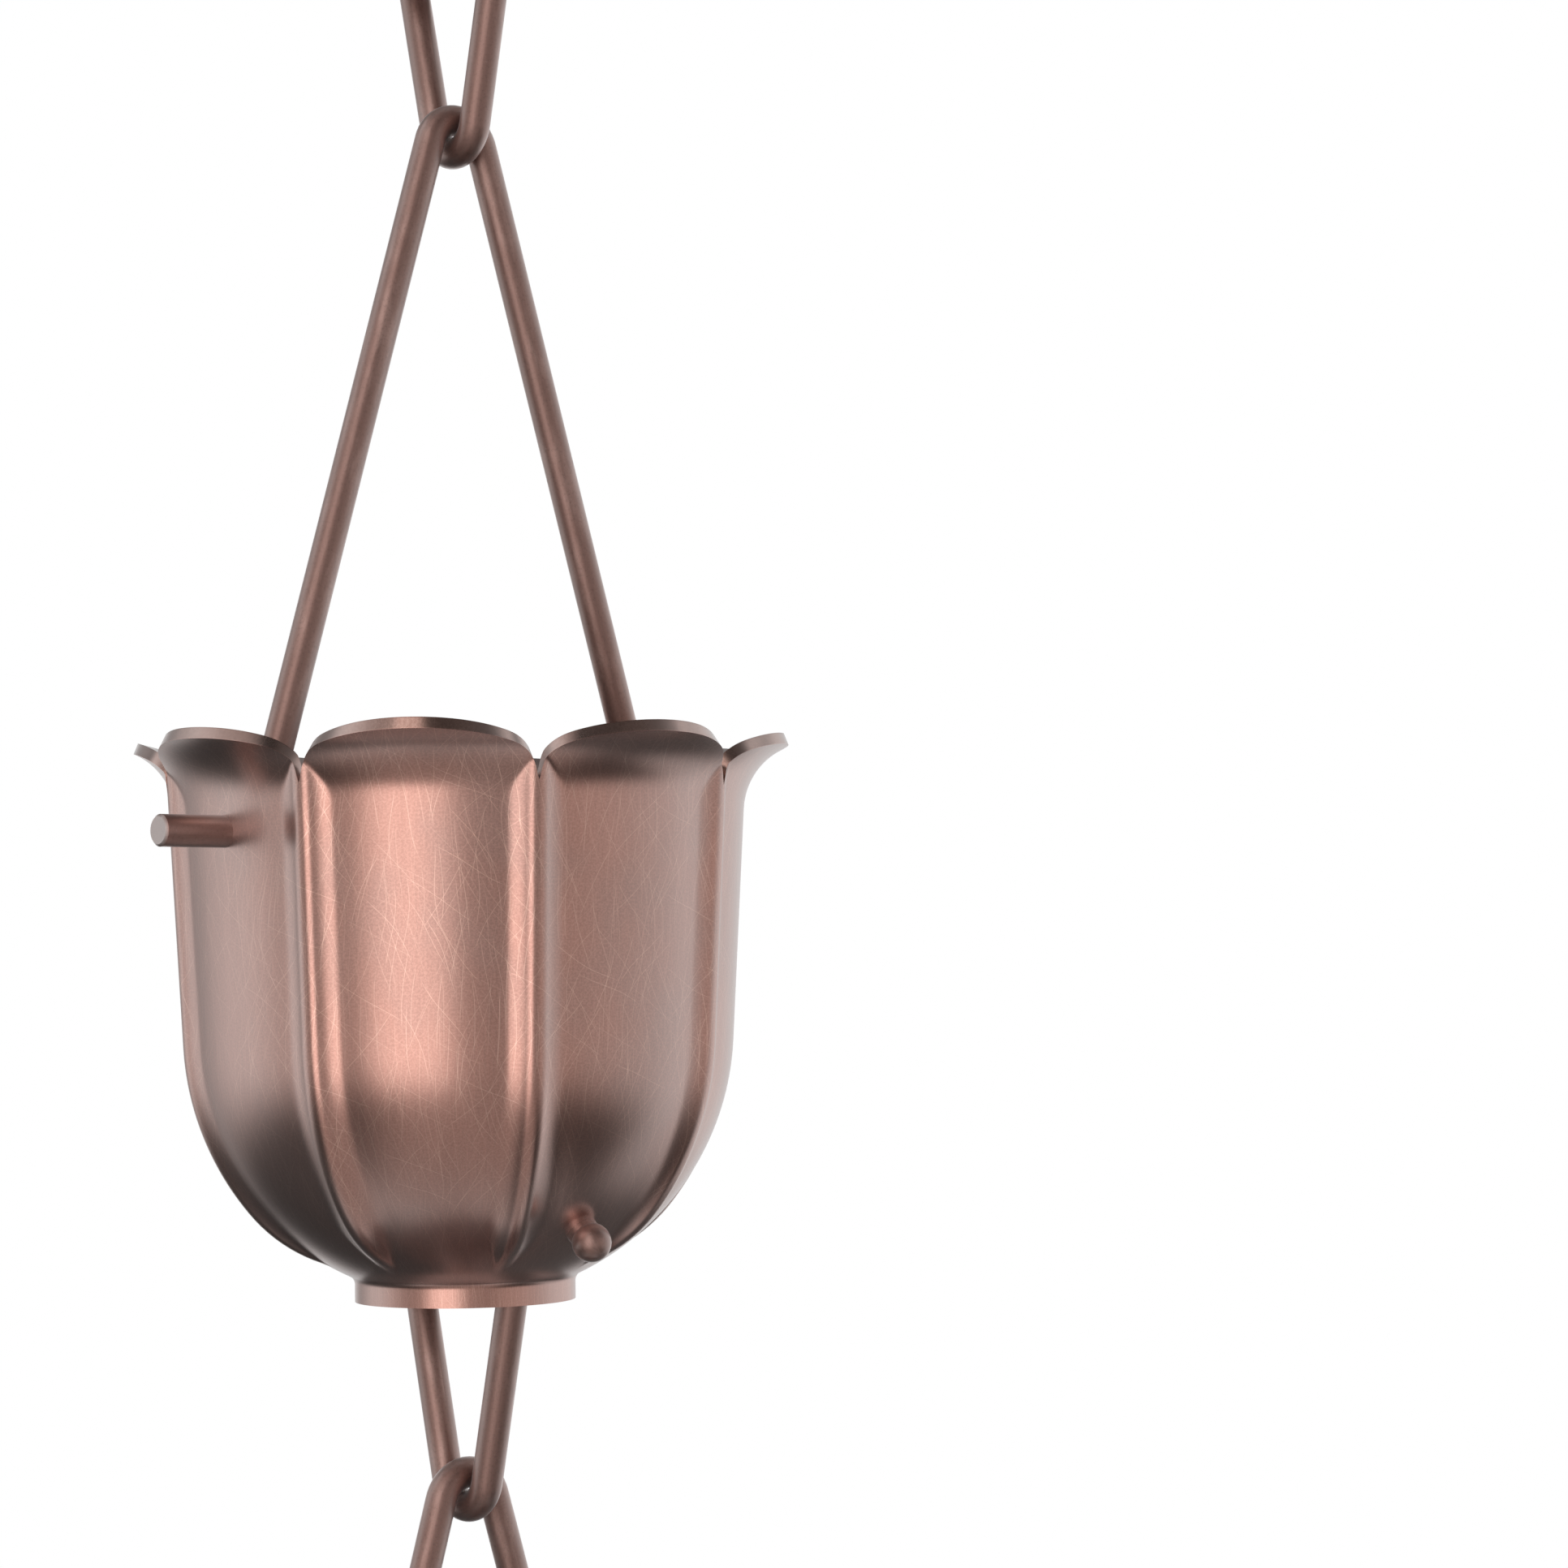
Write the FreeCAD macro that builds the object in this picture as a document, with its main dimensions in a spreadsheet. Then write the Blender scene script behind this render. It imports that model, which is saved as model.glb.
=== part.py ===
import FreeCAD, Part
import math
import os
import Sketcher

# A rain chain of petalled cups. Each cup hangs by its two stub ends on a wire hanger, and a wire loop
# that is held in the bowl by two ball ends hooks the hanger of the next cup. Sizes are in millimetres
# and degrees. The origin is the centre of the top hanger's bend, x runs along the stub ends, z is up.

SIZES = {
    "wire_diameter": 4.0,
    "hook_clearance": 0.3,
    "stub_clearance": 0.1,
    "stud_clearance": 0.3,
    "sheet_thickness": 1.5,
    # cup wall, with heights measured from the axis of the stub ends
    "petal_count": 8,
    "bowl_radius": 34.8,
    "bowl_centre_depth": 24.6,
    "side_angle": 3.3,
    "flare_start": 3.1,
    "flare_radius": 9.2,
    "flare_angle": 80.0,
    "collar_radius": 14.1,
    "collar_bottom_depth": 59.4,
    "neck_radius": 1.2,
    # raised seam between two petals
    "seam_height": 1.4,
    "seam_crest_radius": 2.0,
    "seam_foot_radius": 7.5,
    "seam_half_width": 4.3,
    "seam_foot_depth": 0.35,
    "seam_top_radius": 60.0,
    "seam_top_length": 5.5,
    "seam_fade_angle": 40.0,
    "seam_fade_radius": 20.0,
    "seam_fade_length": 14.0,
    # round end of each petal and the notch between two petals, cut square to the middle of the lip
    "petal_tip_angle": 69.2,
    "trim_angle": 40.0,
    "notch_flare_angle": 19.5,
    "petal_end_radius": 18.8,
    "petal_shoulder_radius": 6.3,
    "notch_width": 0.4,
    # hanger
    "hanger_height": 89.0,
    "hanger_half_spread": 31.5,
    "hanger_bend_radius": 4.5,
    "stub_half_length": 45.7,
    # lower loop
    "loop_drop": 81.4,
    "loop_leg_angle": 13.4,
    "loop_bend_radius": 4.5,
    "stud_angle": 37.0,
    "stud_hole_angle": 46.3,
    "stud_length": 3.1,
    "ball_diameter": 4.9,
}

CUP_COUNT = 5

doc = FreeCAD.newDocument("rain_chain")
sheet = doc.addObject("Spreadsheet::Sheet", "sizes")
for row, (alias, value) in enumerate(SIZES.items(), start=1):
    sheet.set("A%d" % row, alias)
    sheet.set("B%d" % row, str(value))
    sheet.setAlias("B%d" % row, alias)
doc.recompute()


def size(alias):
    """The number in the sheet's cell of that name."""
    return float(getattr(sheet, alias))


def sheet_value(expression):
    """The number that an expression in the sheet's names has now."""
    return float(sheet.evalExpression(expression.replace("sizes.", "")))


def vec(x, y):
    return FreeCAD.Vector(x, y, 0)


def polar(centre, radius, degrees):
    """The point of a sketch at a radius and an angle from a centre."""
    angle = math.radians(degrees)
    return vec(centre.x + radius * math.cos(angle), centre.y + radius * math.sin(angle))


def origin_plane(body, role):
    return [feature for feature in body.Origin.OriginFeatures if feature.Role == role][0]


def new_sketch(body, name, role, turn=None):
    """A sketch on one of the body's origin planes; turn is an expression for an angle about z."""
    sketch = body.newObject("Sketcher::SketchObject", name)
    sketch.AttachmentSupport = (origin_plane(body, role), "")
    sketch.MapMode = "FlatFace"
    if turn is not None:
        about_z = FreeCAD.Rotation(FreeCAD.Vector(0, 1, 0), 1)
        sketch.AttachmentOffset = FreeCAD.Placement(FreeCAD.Vector(), about_z)
        sketch.setExpression("AttachmentOffset.Rotation.Angle", turn)
    return sketch


def line(sketch, start, end, construction=False):
    return sketch.addGeometry(Part.LineSegment(start, end), construction)


def arc(sketch, centre, radius, start, end):
    """An arc drawn anticlockwise from one angle to another, in degrees."""
    circle = Part.Circle(centre, FreeCAD.Vector(0, 0, 1), radius)
    return sketch.addGeometry(Part.ArcOfCircle(circle, math.radians(start), math.radians(end)))


def link(sketch, kind, *args):
    sketch.addConstraint(Sketcher.Constraint(kind, *args))


def bind(sketch, kind, args, expression, value):
    """A dimension that follows an expression in the sheet's names."""
    index = sketch.addConstraint(Sketcher.Constraint(kind, *args, value))
    sketch.setExpression("Constraints[%d]" % index, expression)


START, END, CENTRE = 1, 2, 3
ORIGIN = (-1, 1)
UPRIGHT_AXIS = -2
SEAM_TURN = "180 / sizes.petal_count"

# The wire of one hook runs round the centre of the other hook's bend.
HOOK_RADIUS = "(sizes.wire_diameter + sizes.hook_clearance)"
hook_radius = size("wire_diameter") + size("hook_clearance")
PITCH = "(sizes.hanger_height + sizes.loop_drop + %s)" % HOOK_RADIUS

# Centre of the lip's curve in a meridian plane, and the middle of the sheet at the tip of a petal.
SIDE_RADIUS = ("sizes.bowl_radius / cos(sizes.side_angle)"
               " + (sizes.flare_start + sizes.bowl_centre_depth) * tan(sizes.side_angle)")
FLARE_X = "(%s + sizes.flare_radius * cos(sizes.side_angle))" % SIDE_RADIUS
FLARE_Z = "(sizes.flare_start - sizes.flare_radius * sin(sizes.side_angle))"
LIP_RADIUS = "(sizes.flare_radius + sizes.sheet_thickness / 2)"


def lip_point(angle):
    """Radius and height, as expressions, of the middle of the sheet where the lip has turned by an angle."""
    radius = "(%s - %s * cos(%s))" % (FLARE_X, LIP_RADIUS, angle)
    height = "(%s + %s * sin(%s))" % (FLARE_Z, LIP_RADIUS, angle)
    return radius, height


def leaning(radius, height, turn):
    """Expressions for x and y, in the leaning sketch, of a lip point at an angle from its petal's middle."""
    x = "%s * sin(%s)" % (radius, turn)
    y = "%s * cos(%s) * sin(sizes.trim_angle) + %s * cos(sizes.trim_angle)" % (radius, turn, height)
    return x, y


# Where a stud crosses the middle of the sheet in the bowl, and the centre of its ball.
HOLE_REACH = "(sizes.bowl_radius - sizes.sheet_thickness / 2)"
HOLE_Y = "%s * cos(sizes.stud_hole_angle)" % HOLE_REACH
HOLE_Z = "-sizes.bowl_centre_depth - %s * sin(sizes.stud_hole_angle)" % HOLE_REACH
BALL_Y = "%s + sizes.stud_length * cos(sizes.stud_angle)" % HOLE_Y
BALL_Z = "%s - sizes.stud_length * sin(sizes.stud_angle)" % HOLE_Z


def flare_centre():
    """Centre of the lip's curve in a meridian plane: the side line ends on it at the flare's start."""
    slope = math.radians(size("side_angle"))
    bowl = size("bowl_radius")
    side = bowl / math.cos(slope) + (size("flare_start") + size("bowl_centre_depth")) * math.tan(slope)
    radius = size("flare_radius")
    return vec(side + radius * math.cos(slope), size("flare_start") - radius * math.sin(slope))


def meridian(sketch, inset):
    """Bowl arc, side line and lip arc of one face of the sheet; inset is 0 outside and 1 inside."""
    thickness = size("sheet_thickness") * inset
    slope = size("side_angle")
    bowl_centre = vec(0, -size("bowl_centre_depth"))
    bowl_radius = size("bowl_radius") - thickness
    flare_radius = size("flare_radius") + thickness
    neck = size("neck_radius") + thickness
    neck_x = size("collar_radius") + size("neck_radius")
    neck_angle = -math.degrees(math.acos(neck_x / (size("bowl_radius") + size("neck_radius"))))
    bowl = arc(sketch, bowl_centre, bowl_radius, neck_angle, -slope)
    side_start = polar(bowl_centre, bowl_radius, -slope)
    side_end = polar(flare_centre(), flare_radius, 180 - slope)
    side = line(sketch, side_start, side_end)
    flare = arc(sketch, flare_centre(), flare_radius, 180 - size("flare_angle"), 180 - slope)
    neck_centre = polar(bowl_centre, size("bowl_radius") + size("neck_radius"), neck_angle)
    throat = arc(sketch, neck_centre, neck, 180 + neck_angle, 180)
    collar_top = polar(neck_centre, neck, 180)
    collar = line(sketch, collar_top, vec(collar_top.x, -size("collar_bottom_depth")))
    link(sketch, "Tangent", bowl, END, side, START)
    link(sketch, "Tangent", side, END, flare, END)
    link(sketch, "Tangent", bowl, START, throat, START)
    link(sketch, "Tangent", throat, END, collar, START)
    offset = "%d * sizes.sheet_thickness" % inset
    bind(sketch, "Radius", (bowl,), "sizes.bowl_radius - %s" % offset, bowl_radius)
    bind(sketch, "Radius", (flare,), "sizes.flare_radius + %s" % offset, flare_radius)
    link(sketch, "Vertical", collar)
    return bowl, side, flare, throat, collar


def cup_section(body):
    """The closed section of the sheet, turned about z to make the plain cup."""
    sketch = new_sketch(body, "cup_section", "XZ_Plane")
    bowl, side, flare, throat, collar = meridian(sketch, 0)
    bowl_in, side_in, flare_in, throat_in, collar_in = meridian(sketch, 1)
    bottom = -size("collar_bottom_depth")
    outer = size("collar_radius")
    foot = line(sketch, vec(outer - size("sheet_thickness"), bottom), vec(outer, bottom))
    angle = 180 - size("flare_angle")
    low = size("flare_radius")
    high = low + size("sheet_thickness")
    lip = line(sketch, polar(flare_centre(), low, angle), polar(flare_centre(), high, angle))
    link(sketch, "Coincident", foot, START, collar_in, END)
    link(sketch, "Coincident", foot, END, collar, END)
    link(sketch, "Coincident", lip, START, flare, START)
    link(sketch, "Coincident", lip, END, flare_in, START)
    link(sketch, "Coincident", bowl, CENTRE, bowl_in, CENTRE)
    link(sketch, "Coincident", flare, CENTRE, flare_in, CENTRE)
    link(sketch, "Coincident", throat, CENTRE, throat_in, CENTRE)
    link(sketch, "PointOnObject", bowl, CENTRE, UPRIGHT_AXIS)
    link(sketch, "PointOnObject", flare, CENTRE, lip)
    link(sketch, "Horizontal", foot)
    bind(sketch, "Radius", (throat,), "sizes.neck_radius", size("neck_radius"))
    bind(sketch, "DistanceY", (bowl, CENTRE, *ORIGIN), "sizes.bowl_centre_depth", size("bowl_centre_depth"))
    bind(sketch, "DistanceY", (foot, END, *ORIGIN), "sizes.collar_bottom_depth", -bottom)
    bind(sketch, "DistanceX", (*ORIGIN, foot, END), "sizes.collar_radius", outer)
    bind(sketch, "DistanceY", (*ORIGIN, side, END), "sizes.flare_start", size("flare_start"))
    bind(sketch, "Angle", (side,), "90 - sizes.side_angle", math.radians(90 - size("side_angle")))
    bind(sketch, "Angle", (lip,), "180 - sizes.flare_angle", math.radians(angle))
    return sketch


def seam_path(body):
    """The line of one seam on the outside of the sheet; a flatter arc at each end sinks it into the sheet."""
    sketch = new_sketch(body, "seam_path", "XZ_Plane", SEAM_TURN)
    slope = size("side_angle")
    bowl_centre = vec(0, -size("bowl_centre_depth"))
    radius = size("bowl_radius")
    fade = size("seam_fade_radius")
    fade_angle = -size("seam_fade_angle")
    fade_centre = polar(bowl_centre, radius - fade, fade_angle)
    fade_sweep = math.degrees(size("seam_fade_length") / fade)
    rise = size("seam_top_radius")
    top = 180 - slope - math.degrees(size("seam_top_length") / rise)
    side_top = polar(flare_centre(), size("flare_radius"), 180 - slope)
    rise_centre = polar(side_top, rise, -slope)
    flare = arc(sketch, rise_centre, rise, top, 180 - slope)
    side = line(sketch, side_top, polar(bowl_centre, radius, -slope))
    bowl = arc(sketch, bowl_centre, radius, fade_angle, -slope)
    dive = arc(sketch, fade_centre, fade, fade_angle - fade_sweep, fade_angle)
    run_in = line(sketch, bowl_centre, polar(bowl_centre, radius, fade_angle), True)
    run_out = line(sketch, rise_centre, polar(rise_centre, rise, top), True)
    link(sketch, "Tangent", flare, END, side, START)
    link(sketch, "Tangent", side, END, bowl, END)
    link(sketch, "Tangent", bowl, START, dive, END)
    link(sketch, "PointOnObject", bowl, CENTRE, UPRIGHT_AXIS)
    link(sketch, "Coincident", run_in, START, bowl, CENTRE)
    link(sketch, "Coincident", run_in, END, bowl, START)
    link(sketch, "Coincident", run_out, START, flare, CENTRE)
    link(sketch, "Coincident", run_out, END, flare, START)
    bind(sketch, "Radius", (flare,), "sizes.seam_top_radius", rise)
    bind(sketch, "Radius", (bowl,), "sizes.bowl_radius", radius)
    bind(sketch, "Radius", (dive,), "sizes.seam_fade_radius", fade)
    bind(sketch, "DistanceY", (bowl, CENTRE, *ORIGIN), "sizes.bowl_centre_depth", size("bowl_centre_depth"))
    bind(sketch, "DistanceY", (*ORIGIN, side, START), "sizes.flare_start", size("flare_start"))
    bind(sketch, "Angle", (side,), "-90 - sizes.side_angle", math.radians(-90 - slope))
    bind(sketch, "Angle", (run_in,), "-sizes.seam_fade_angle", math.radians(fade_angle))
    rise_sweep = "sizes.seam_top_length / sizes.seam_top_radius * 180 / pi"
    bind(sketch, "Angle", (run_out,), "180 - sizes.side_angle - " + rise_sweep, math.radians(top))
    sweep = "sizes.seam_fade_length / sizes.seam_fade_radius * 180 / pi"
    bind(sketch, "Angle", (dive,), sweep, math.radians(fade_sweep))
    return sketch


# How deep the rib's and the groove's tool profiles run under the sheet's outer face, in sheet thicknesses.
RIB_ROOT = 0.6
GROOVE_ROOT = 3.0


def seam_profile(body, path, name, inset, root):
    """Round crest and two hollow flanks across a seam, closed by a base line; y points into the cup."""
    sketch = body.newObject("Sketcher::SketchObject", name)
    sketch.AttachmentSupport = (path, "Edge1")
    sketch.MapMode = "NormalToEdge"
    doc.recompute()
    thickness = size("sheet_thickness") * inset
    base = size("sheet_thickness") * root
    crest_centre = vec(0, size("seam_crest_radius") - size("seam_height"))
    crest_radius = size("seam_crest_radius") - thickness
    foot_point = vec(size("seam_half_width"), size("seam_foot_depth"))
    foot_radius = size("seam_foot_radius")
    reach = foot_radius + size("seam_crest_radius")
    span = foot_point - crest_centre
    along = (reach ** 2 - foot_radius ** 2 + span.Length ** 2) / (2 * span.Length)
    across = math.sqrt(reach ** 2 - along ** 2)
    unit = FreeCAD.Vector(span).normalize()
    foot_centre = crest_centre + unit * along + vec(unit.y, -unit.x) * across
    flank = math.degrees(math.atan2(foot_centre.y - crest_centre.y, foot_centre.x - crest_centre.x))
    foot_angle = math.degrees(math.atan2(foot_point.y - foot_centre.y, foot_point.x - foot_centre.x))
    crest = arc(sketch, crest_centre, crest_radius, -180 - flank, flank)
    hollow = foot_radius + thickness
    right = arc(sketch, foot_centre, hollow, foot_angle, 180 + flank)
    left_centre = vec(-foot_centre.x, foot_centre.y)
    left = arc(sketch, left_centre, hollow, -flank, 180 - foot_angle)
    foot = polar(foot_centre, hollow, foot_angle)
    right_side = line(sketch, foot, vec(foot.x, base))
    floor = line(sketch, vec(foot.x, base), vec(-foot.x, base))
    left_side = line(sketch, vec(-foot.x, base), vec(-foot.x, foot.y))
    ruler = line(sketch, foot_centre, foot_point, True)
    link(sketch, "Tangent", crest, END, right, END)
    link(sketch, "Tangent", crest, START, left, START)
    link(sketch, "Coincident", right, START, right_side, START)
    link(sketch, "Coincident", right_side, END, floor, START)
    link(sketch, "Coincident", floor, END, left_side, START)
    link(sketch, "Coincident", left_side, END, left, END)
    link(sketch, "Vertical", right_side)
    link(sketch, "Horizontal", floor)
    link(sketch, "PointOnObject", crest, CENTRE, UPRIGHT_AXIS)
    link(sketch, "Symmetric", right, CENTRE, left, CENTRE, UPRIGHT_AXIS)
    link(sketch, "Horizontal", right, START, left, END)
    link(sketch, "Vertical", left_side)
    link(sketch, "Coincident", ruler, START, right, CENTRE)
    link(sketch, "PointOnObject", right, START, ruler)
    offset = "%d * sizes.sheet_thickness" % inset
    bind(sketch, "Radius", (crest,), "sizes.seam_crest_radius - %s" % offset, crest_radius)
    bind(sketch, "Radius", (right,), "sizes.seam_foot_radius + %s" % offset, hollow)
    crest_depth = "sizes.seam_crest_radius - sizes.seam_height"
    bind(sketch, "DistanceY", (*ORIGIN, crest, CENTRE), crest_depth, crest_centre.y)
    bind(sketch, "DistanceX", (*ORIGIN, ruler, END), "sizes.seam_half_width", foot_point.x)
    bind(sketch, "DistanceY", (*ORIGIN, ruler, END), "sizes.seam_foot_depth", foot_point.y)
    bind(sketch, "Distance", (ruler,), "sizes.seam_foot_radius", foot_radius)
    bind(sketch, "DistanceY", (*ORIGIN, floor, START), "%g * sizes.sheet_thickness" % root, base)
    return sketch


def petal_trim(body):
    """What is cut away round the end of one petal, out to the middle of the notch on each side.

    The sketch leans so that it faces the middle of the lip. The petal's end is a flat arc between two
    round shoulders, and its two flanks run along the seams, half a notch from them.
    """
    sketch = body.newObject("Sketcher::SketchObject", "petal_trim")
    sketch.AttachmentSupport = (origin_plane(body, "YZ_Plane"), "")
    sketch.MapMode = "FlatFace"
    lean = FreeCAD.Rotation(FreeCAD.Vector(1, 0, 0), 1)
    sketch.AttachmentOffset = FreeCAD.Placement(FreeCAD.Vector(), lean)
    sketch.setExpression("AttachmentOffset.Rotation.Angle", "sizes.trim_angle")
    tip_x, tip_y = leaning(*lip_point("sizes.petal_tip_angle"), "0")
    seam_x, seam_y = leaning(*lip_point("sizes.flare_angle"), SEAM_TURN)
    notch_x, notch_y = leaning(*lip_point("sizes.notch_flare_angle"), SEAM_TURN)
    tip = vec(0, sheet_value(tip_y))
    notch = vec(sheet_value(notch_x), sheet_value(notch_y))
    seam = vec(sheet_value(seam_x), sheet_value(seam_y))
    half = size("notch_width") / 2
    small = size("petal_shoulder_radius")
    large = size("petal_end_radius")
    end_centre = vec(0, tip.y - large)
    foot = vec(notch.x - half, notch.y)
    way = (seam - notch).normalize()
    inward = vec(-way.y, way.x)
    reach = foot + inward * small - end_centre
    rise = -reach.dot(way) + math.sqrt(reach.dot(way) ** 2 - reach.dot(reach) + (large - small) ** 2)
    centre = end_centre + reach + way * rise
    low_angle = math.degrees(math.atan2(-inward.y, -inward.x))
    joint = math.degrees(math.atan2(centre.y - end_centre.y, centre.x))
    above = tip.y + small
    end = arc(sketch, end_centre, large, joint, 180 - joint)
    ceiling = line(sketch, vec(-seam.x - half, above), vec(seam.x + half, above))
    top = sketch.addGeometry(Part.Point(tip), True)
    sides = []
    for sign, ceiling_end in ((1, END), (-1, START)):
        shoulder_centre = vec(sign * centre.x, centre.y)
        if sign > 0:
            shoulder = arc(sketch, shoulder_centre, small, low_angle, joint)
            low, high, joined = START, END, START
        else:
            shoulder = arc(sketch, shoulder_centre, small, 180 - joint, 180 - low_angle)
            low, high, joined = END, START, END
        flank_top = centre - inward * small
        flank = line(sketch, vec(sign * foot.x, foot.y), vec(sign * flank_top.x, flank_top.y))
        floor = line(sketch, vec(sign * foot.x, foot.y), vec(sign * (notch.x + half), notch.y))
        side = line(sketch, vec(sign * (notch.x + half), notch.y), vec(sign * (seam.x + half), seam.y))
        riser = line(sketch, vec(sign * (seam.x + half), seam.y), vec(sign * (seam.x + half), above))
        link(sketch, "Tangent", shoulder, high, end, joined)
        link(sketch, "Tangent", flank, END, shoulder, low)
        link(sketch, "Coincident", flank, START, floor, START)
        link(sketch, "Coincident", floor, END, side, START)
        link(sketch, "Coincident", side, END, riser, START)
        link(sketch, "Parallel", flank, side)
        link(sketch, "Vertical", riser)
        link(sketch, "Coincident", riser, END, ceiling, ceiling_end)
        sides.append((shoulder, floor, side, riser))
    (shoulder, floor, side, riser), (far_shoulder, far_floor, far_side, far_riser) = sides
    link(sketch, "PointOnObject", end, CENTRE, UPRIGHT_AXIS)
    link(sketch, "PointOnObject", top, START, UPRIGHT_AXIS)
    link(sketch, "PointOnObject", top, START, end)
    link(sketch, "Equal", shoulder, far_shoulder)
    link(sketch, "Symmetric", floor, START, far_floor, START, UPRIGHT_AXIS)
    link(sketch, "Symmetric", floor, END, far_floor, END, UPRIGHT_AXIS)
    link(sketch, "Symmetric", side, END, far_side, END, UPRIGHT_AXIS)
    link(sketch, "Horizontal", floor)
    link(sketch, "Horizontal", ceiling)
    bind(sketch, "Radius", (end,), "sizes.petal_end_radius", large)
    bind(sketch, "Radius", (shoulder,), "sizes.petal_shoulder_radius", small)
    bind(sketch, "DistanceY", (*ORIGIN, top, START), tip_y, tip.y)
    bind(sketch, "DistanceX", (*ORIGIN, floor, START), notch_x + " - sizes.notch_width / 2", foot.x)
    bind(sketch, "DistanceY", (*ORIGIN, floor, START), notch_y, notch.y)
    bind(sketch, "Distance", (floor,), "sizes.notch_width", 2 * half)
    bind(sketch, "DistanceX", (*ORIGIN, side, END), seam_x + " + sizes.notch_width / 2", seam.x + half)
    bind(sketch, "DistanceY", (*ORIGIN, side, END), seam_y, seam.y)
    bind(sketch, "DistanceY", (*ORIGIN, riser, END), tip_y + " + sizes.petal_shoulder_radius", above)
    return sketch


def polar_copies(body, name, originals, count):
    pattern = body.newObject("PartDesign::PolarPattern", name)
    pattern.Originals = originals
    pattern.Axis = (origin_plane(body, "Z_Axis"), [""])
    pattern.Angle = 360
    pattern.setExpression("Occurrences", count)
    body.Tip = pattern
    doc.recompute()
    return pattern


def pipe(body, kind, name, profile, path):
    feature = body.newObject("PartDesign::" + kind, name)
    feature.Profile = profile
    feature.Spine = path
    doc.recompute()
    return feature


def mirror_copy(body, name, original):
    mirrored = body.newObject("PartDesign::Mirrored", name)
    mirrored.Originals = [original]
    mirrored.MirrorPlane = (origin_plane(body, "XZ_Plane"), [""])
    body.Tip = mirrored
    doc.recompute()


def pin_holes(body):
    """Round holes for the hanger's stubs through both sides, and for the loop's studs through the bowl."""
    sketch = new_sketch(body, "stub_hole_circle", "YZ_Plane")
    stub_radius = "sizes.wire_diameter / 2 + sizes.stub_clearance"
    radius = sheet_value(stub_radius)
    circle = sketch.addGeometry(Part.Circle(vec(0, 0), FreeCAD.Vector(0, 0, 1), radius))
    link(sketch, "Coincident", circle, CENTRE, *ORIGIN)
    bind(sketch, "Radius", (circle,), stub_radius, radius)
    stub_hole = body.newObject("PartDesign::Pocket", "stub_holes")
    stub_hole.Profile = sketch
    stub_hole.Type = "ThroughAll"
    stub_hole.Midplane = True
    doc.recompute()
    stud_hole = body.newObject("PartDesign::SubtractiveCylinder", "stud_hole")
    stud_hole.AttachmentSupport = (origin_plane(body, "XY_Plane"), "")
    stud_hole.MapMode = "FlatFace"
    about_x = FreeCAD.Rotation(FreeCAD.Vector(1, 0, 0), -90)
    stud_hole.AttachmentOffset = FreeCAD.Placement(FreeCAD.Vector(), about_x)
    stud_hole.setExpression("AttachmentOffset.Rotation.Angle", "-90 - sizes.stud_angle")
    half = "2 * sizes.sheet_thickness"
    stud_hole.setExpression("AttachmentOffset.Base.y", "%s - %s * cos(sizes.stud_angle)" % (HOLE_Y, half))
    stud_hole.setExpression("AttachmentOffset.Base.z", "%s + %s * sin(sizes.stud_angle)" % (HOLE_Z, half))
    stud_hole.setExpression("Radius", "sizes.wire_diameter / 2 + sizes.stud_clearance")
    stud_hole.setExpression("Height", "2 * %s" % half)
    doc.recompute()
    mirror_copy(body, "stud_holes", stud_hole)


def build_cup(name):
    """One pressed sheet: turned wall, seams raised between the petals, notches cut down to the seams."""
    body = doc.addObject("PartDesign::Body", name)
    wall = body.newObject("PartDesign::Revolution", "cup_wall")
    wall.Profile = cup_section(body)
    doc.recompute()
    wall.ReferenceAxis = (wall.Profile[0], ["V_Axis"])
    wall.Angle = 360
    doc.recompute()
    pin_holes(body)
    path = seam_path(body)
    doc.recompute()
    outside = seam_profile(body, path, "seam_outside", 0, RIB_ROOT)
    rib = pipe(body, "AdditivePipe", "seam_rib", outside, path)
    inside = seam_profile(body, path, "seam_inside", 1, GROOVE_ROOT)
    groove = pipe(body, "SubtractivePipe", "seam_groove", inside, path)
    polar_copies(body, "seams", [rib, groove], "sizes.petal_count")
    trim = body.newObject("PartDesign::Pocket", "petal_end")
    trim.Profile = petal_trim(body)
    trim.Type = "ThroughAll"
    trim.Reversed = True
    doc.recompute()
    polar_copies(body, "petal_ends", [trim], "sizes.petal_count")
    return body


def wire_section(body, name, path):
    """The round section of a wire, square to the first edge of its path."""
    sketch = body.newObject("Sketcher::SketchObject", name)
    sketch.AttachmentSupport = (path, "Edge1")
    sketch.MapMode = "NormalToEdge"
    radius = size("wire_diameter") / 2
    circle = sketch.addGeometry(Part.Circle(vec(0, 0), FreeCAD.Vector(0, 0, 1), radius))
    link(sketch, "Coincident", circle, CENTRE, *ORIGIN)
    bind(sketch, "Radius", (circle,), "sizes.wire_diameter / 2", radius)
    doc.recompute()
    return sketch


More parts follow.
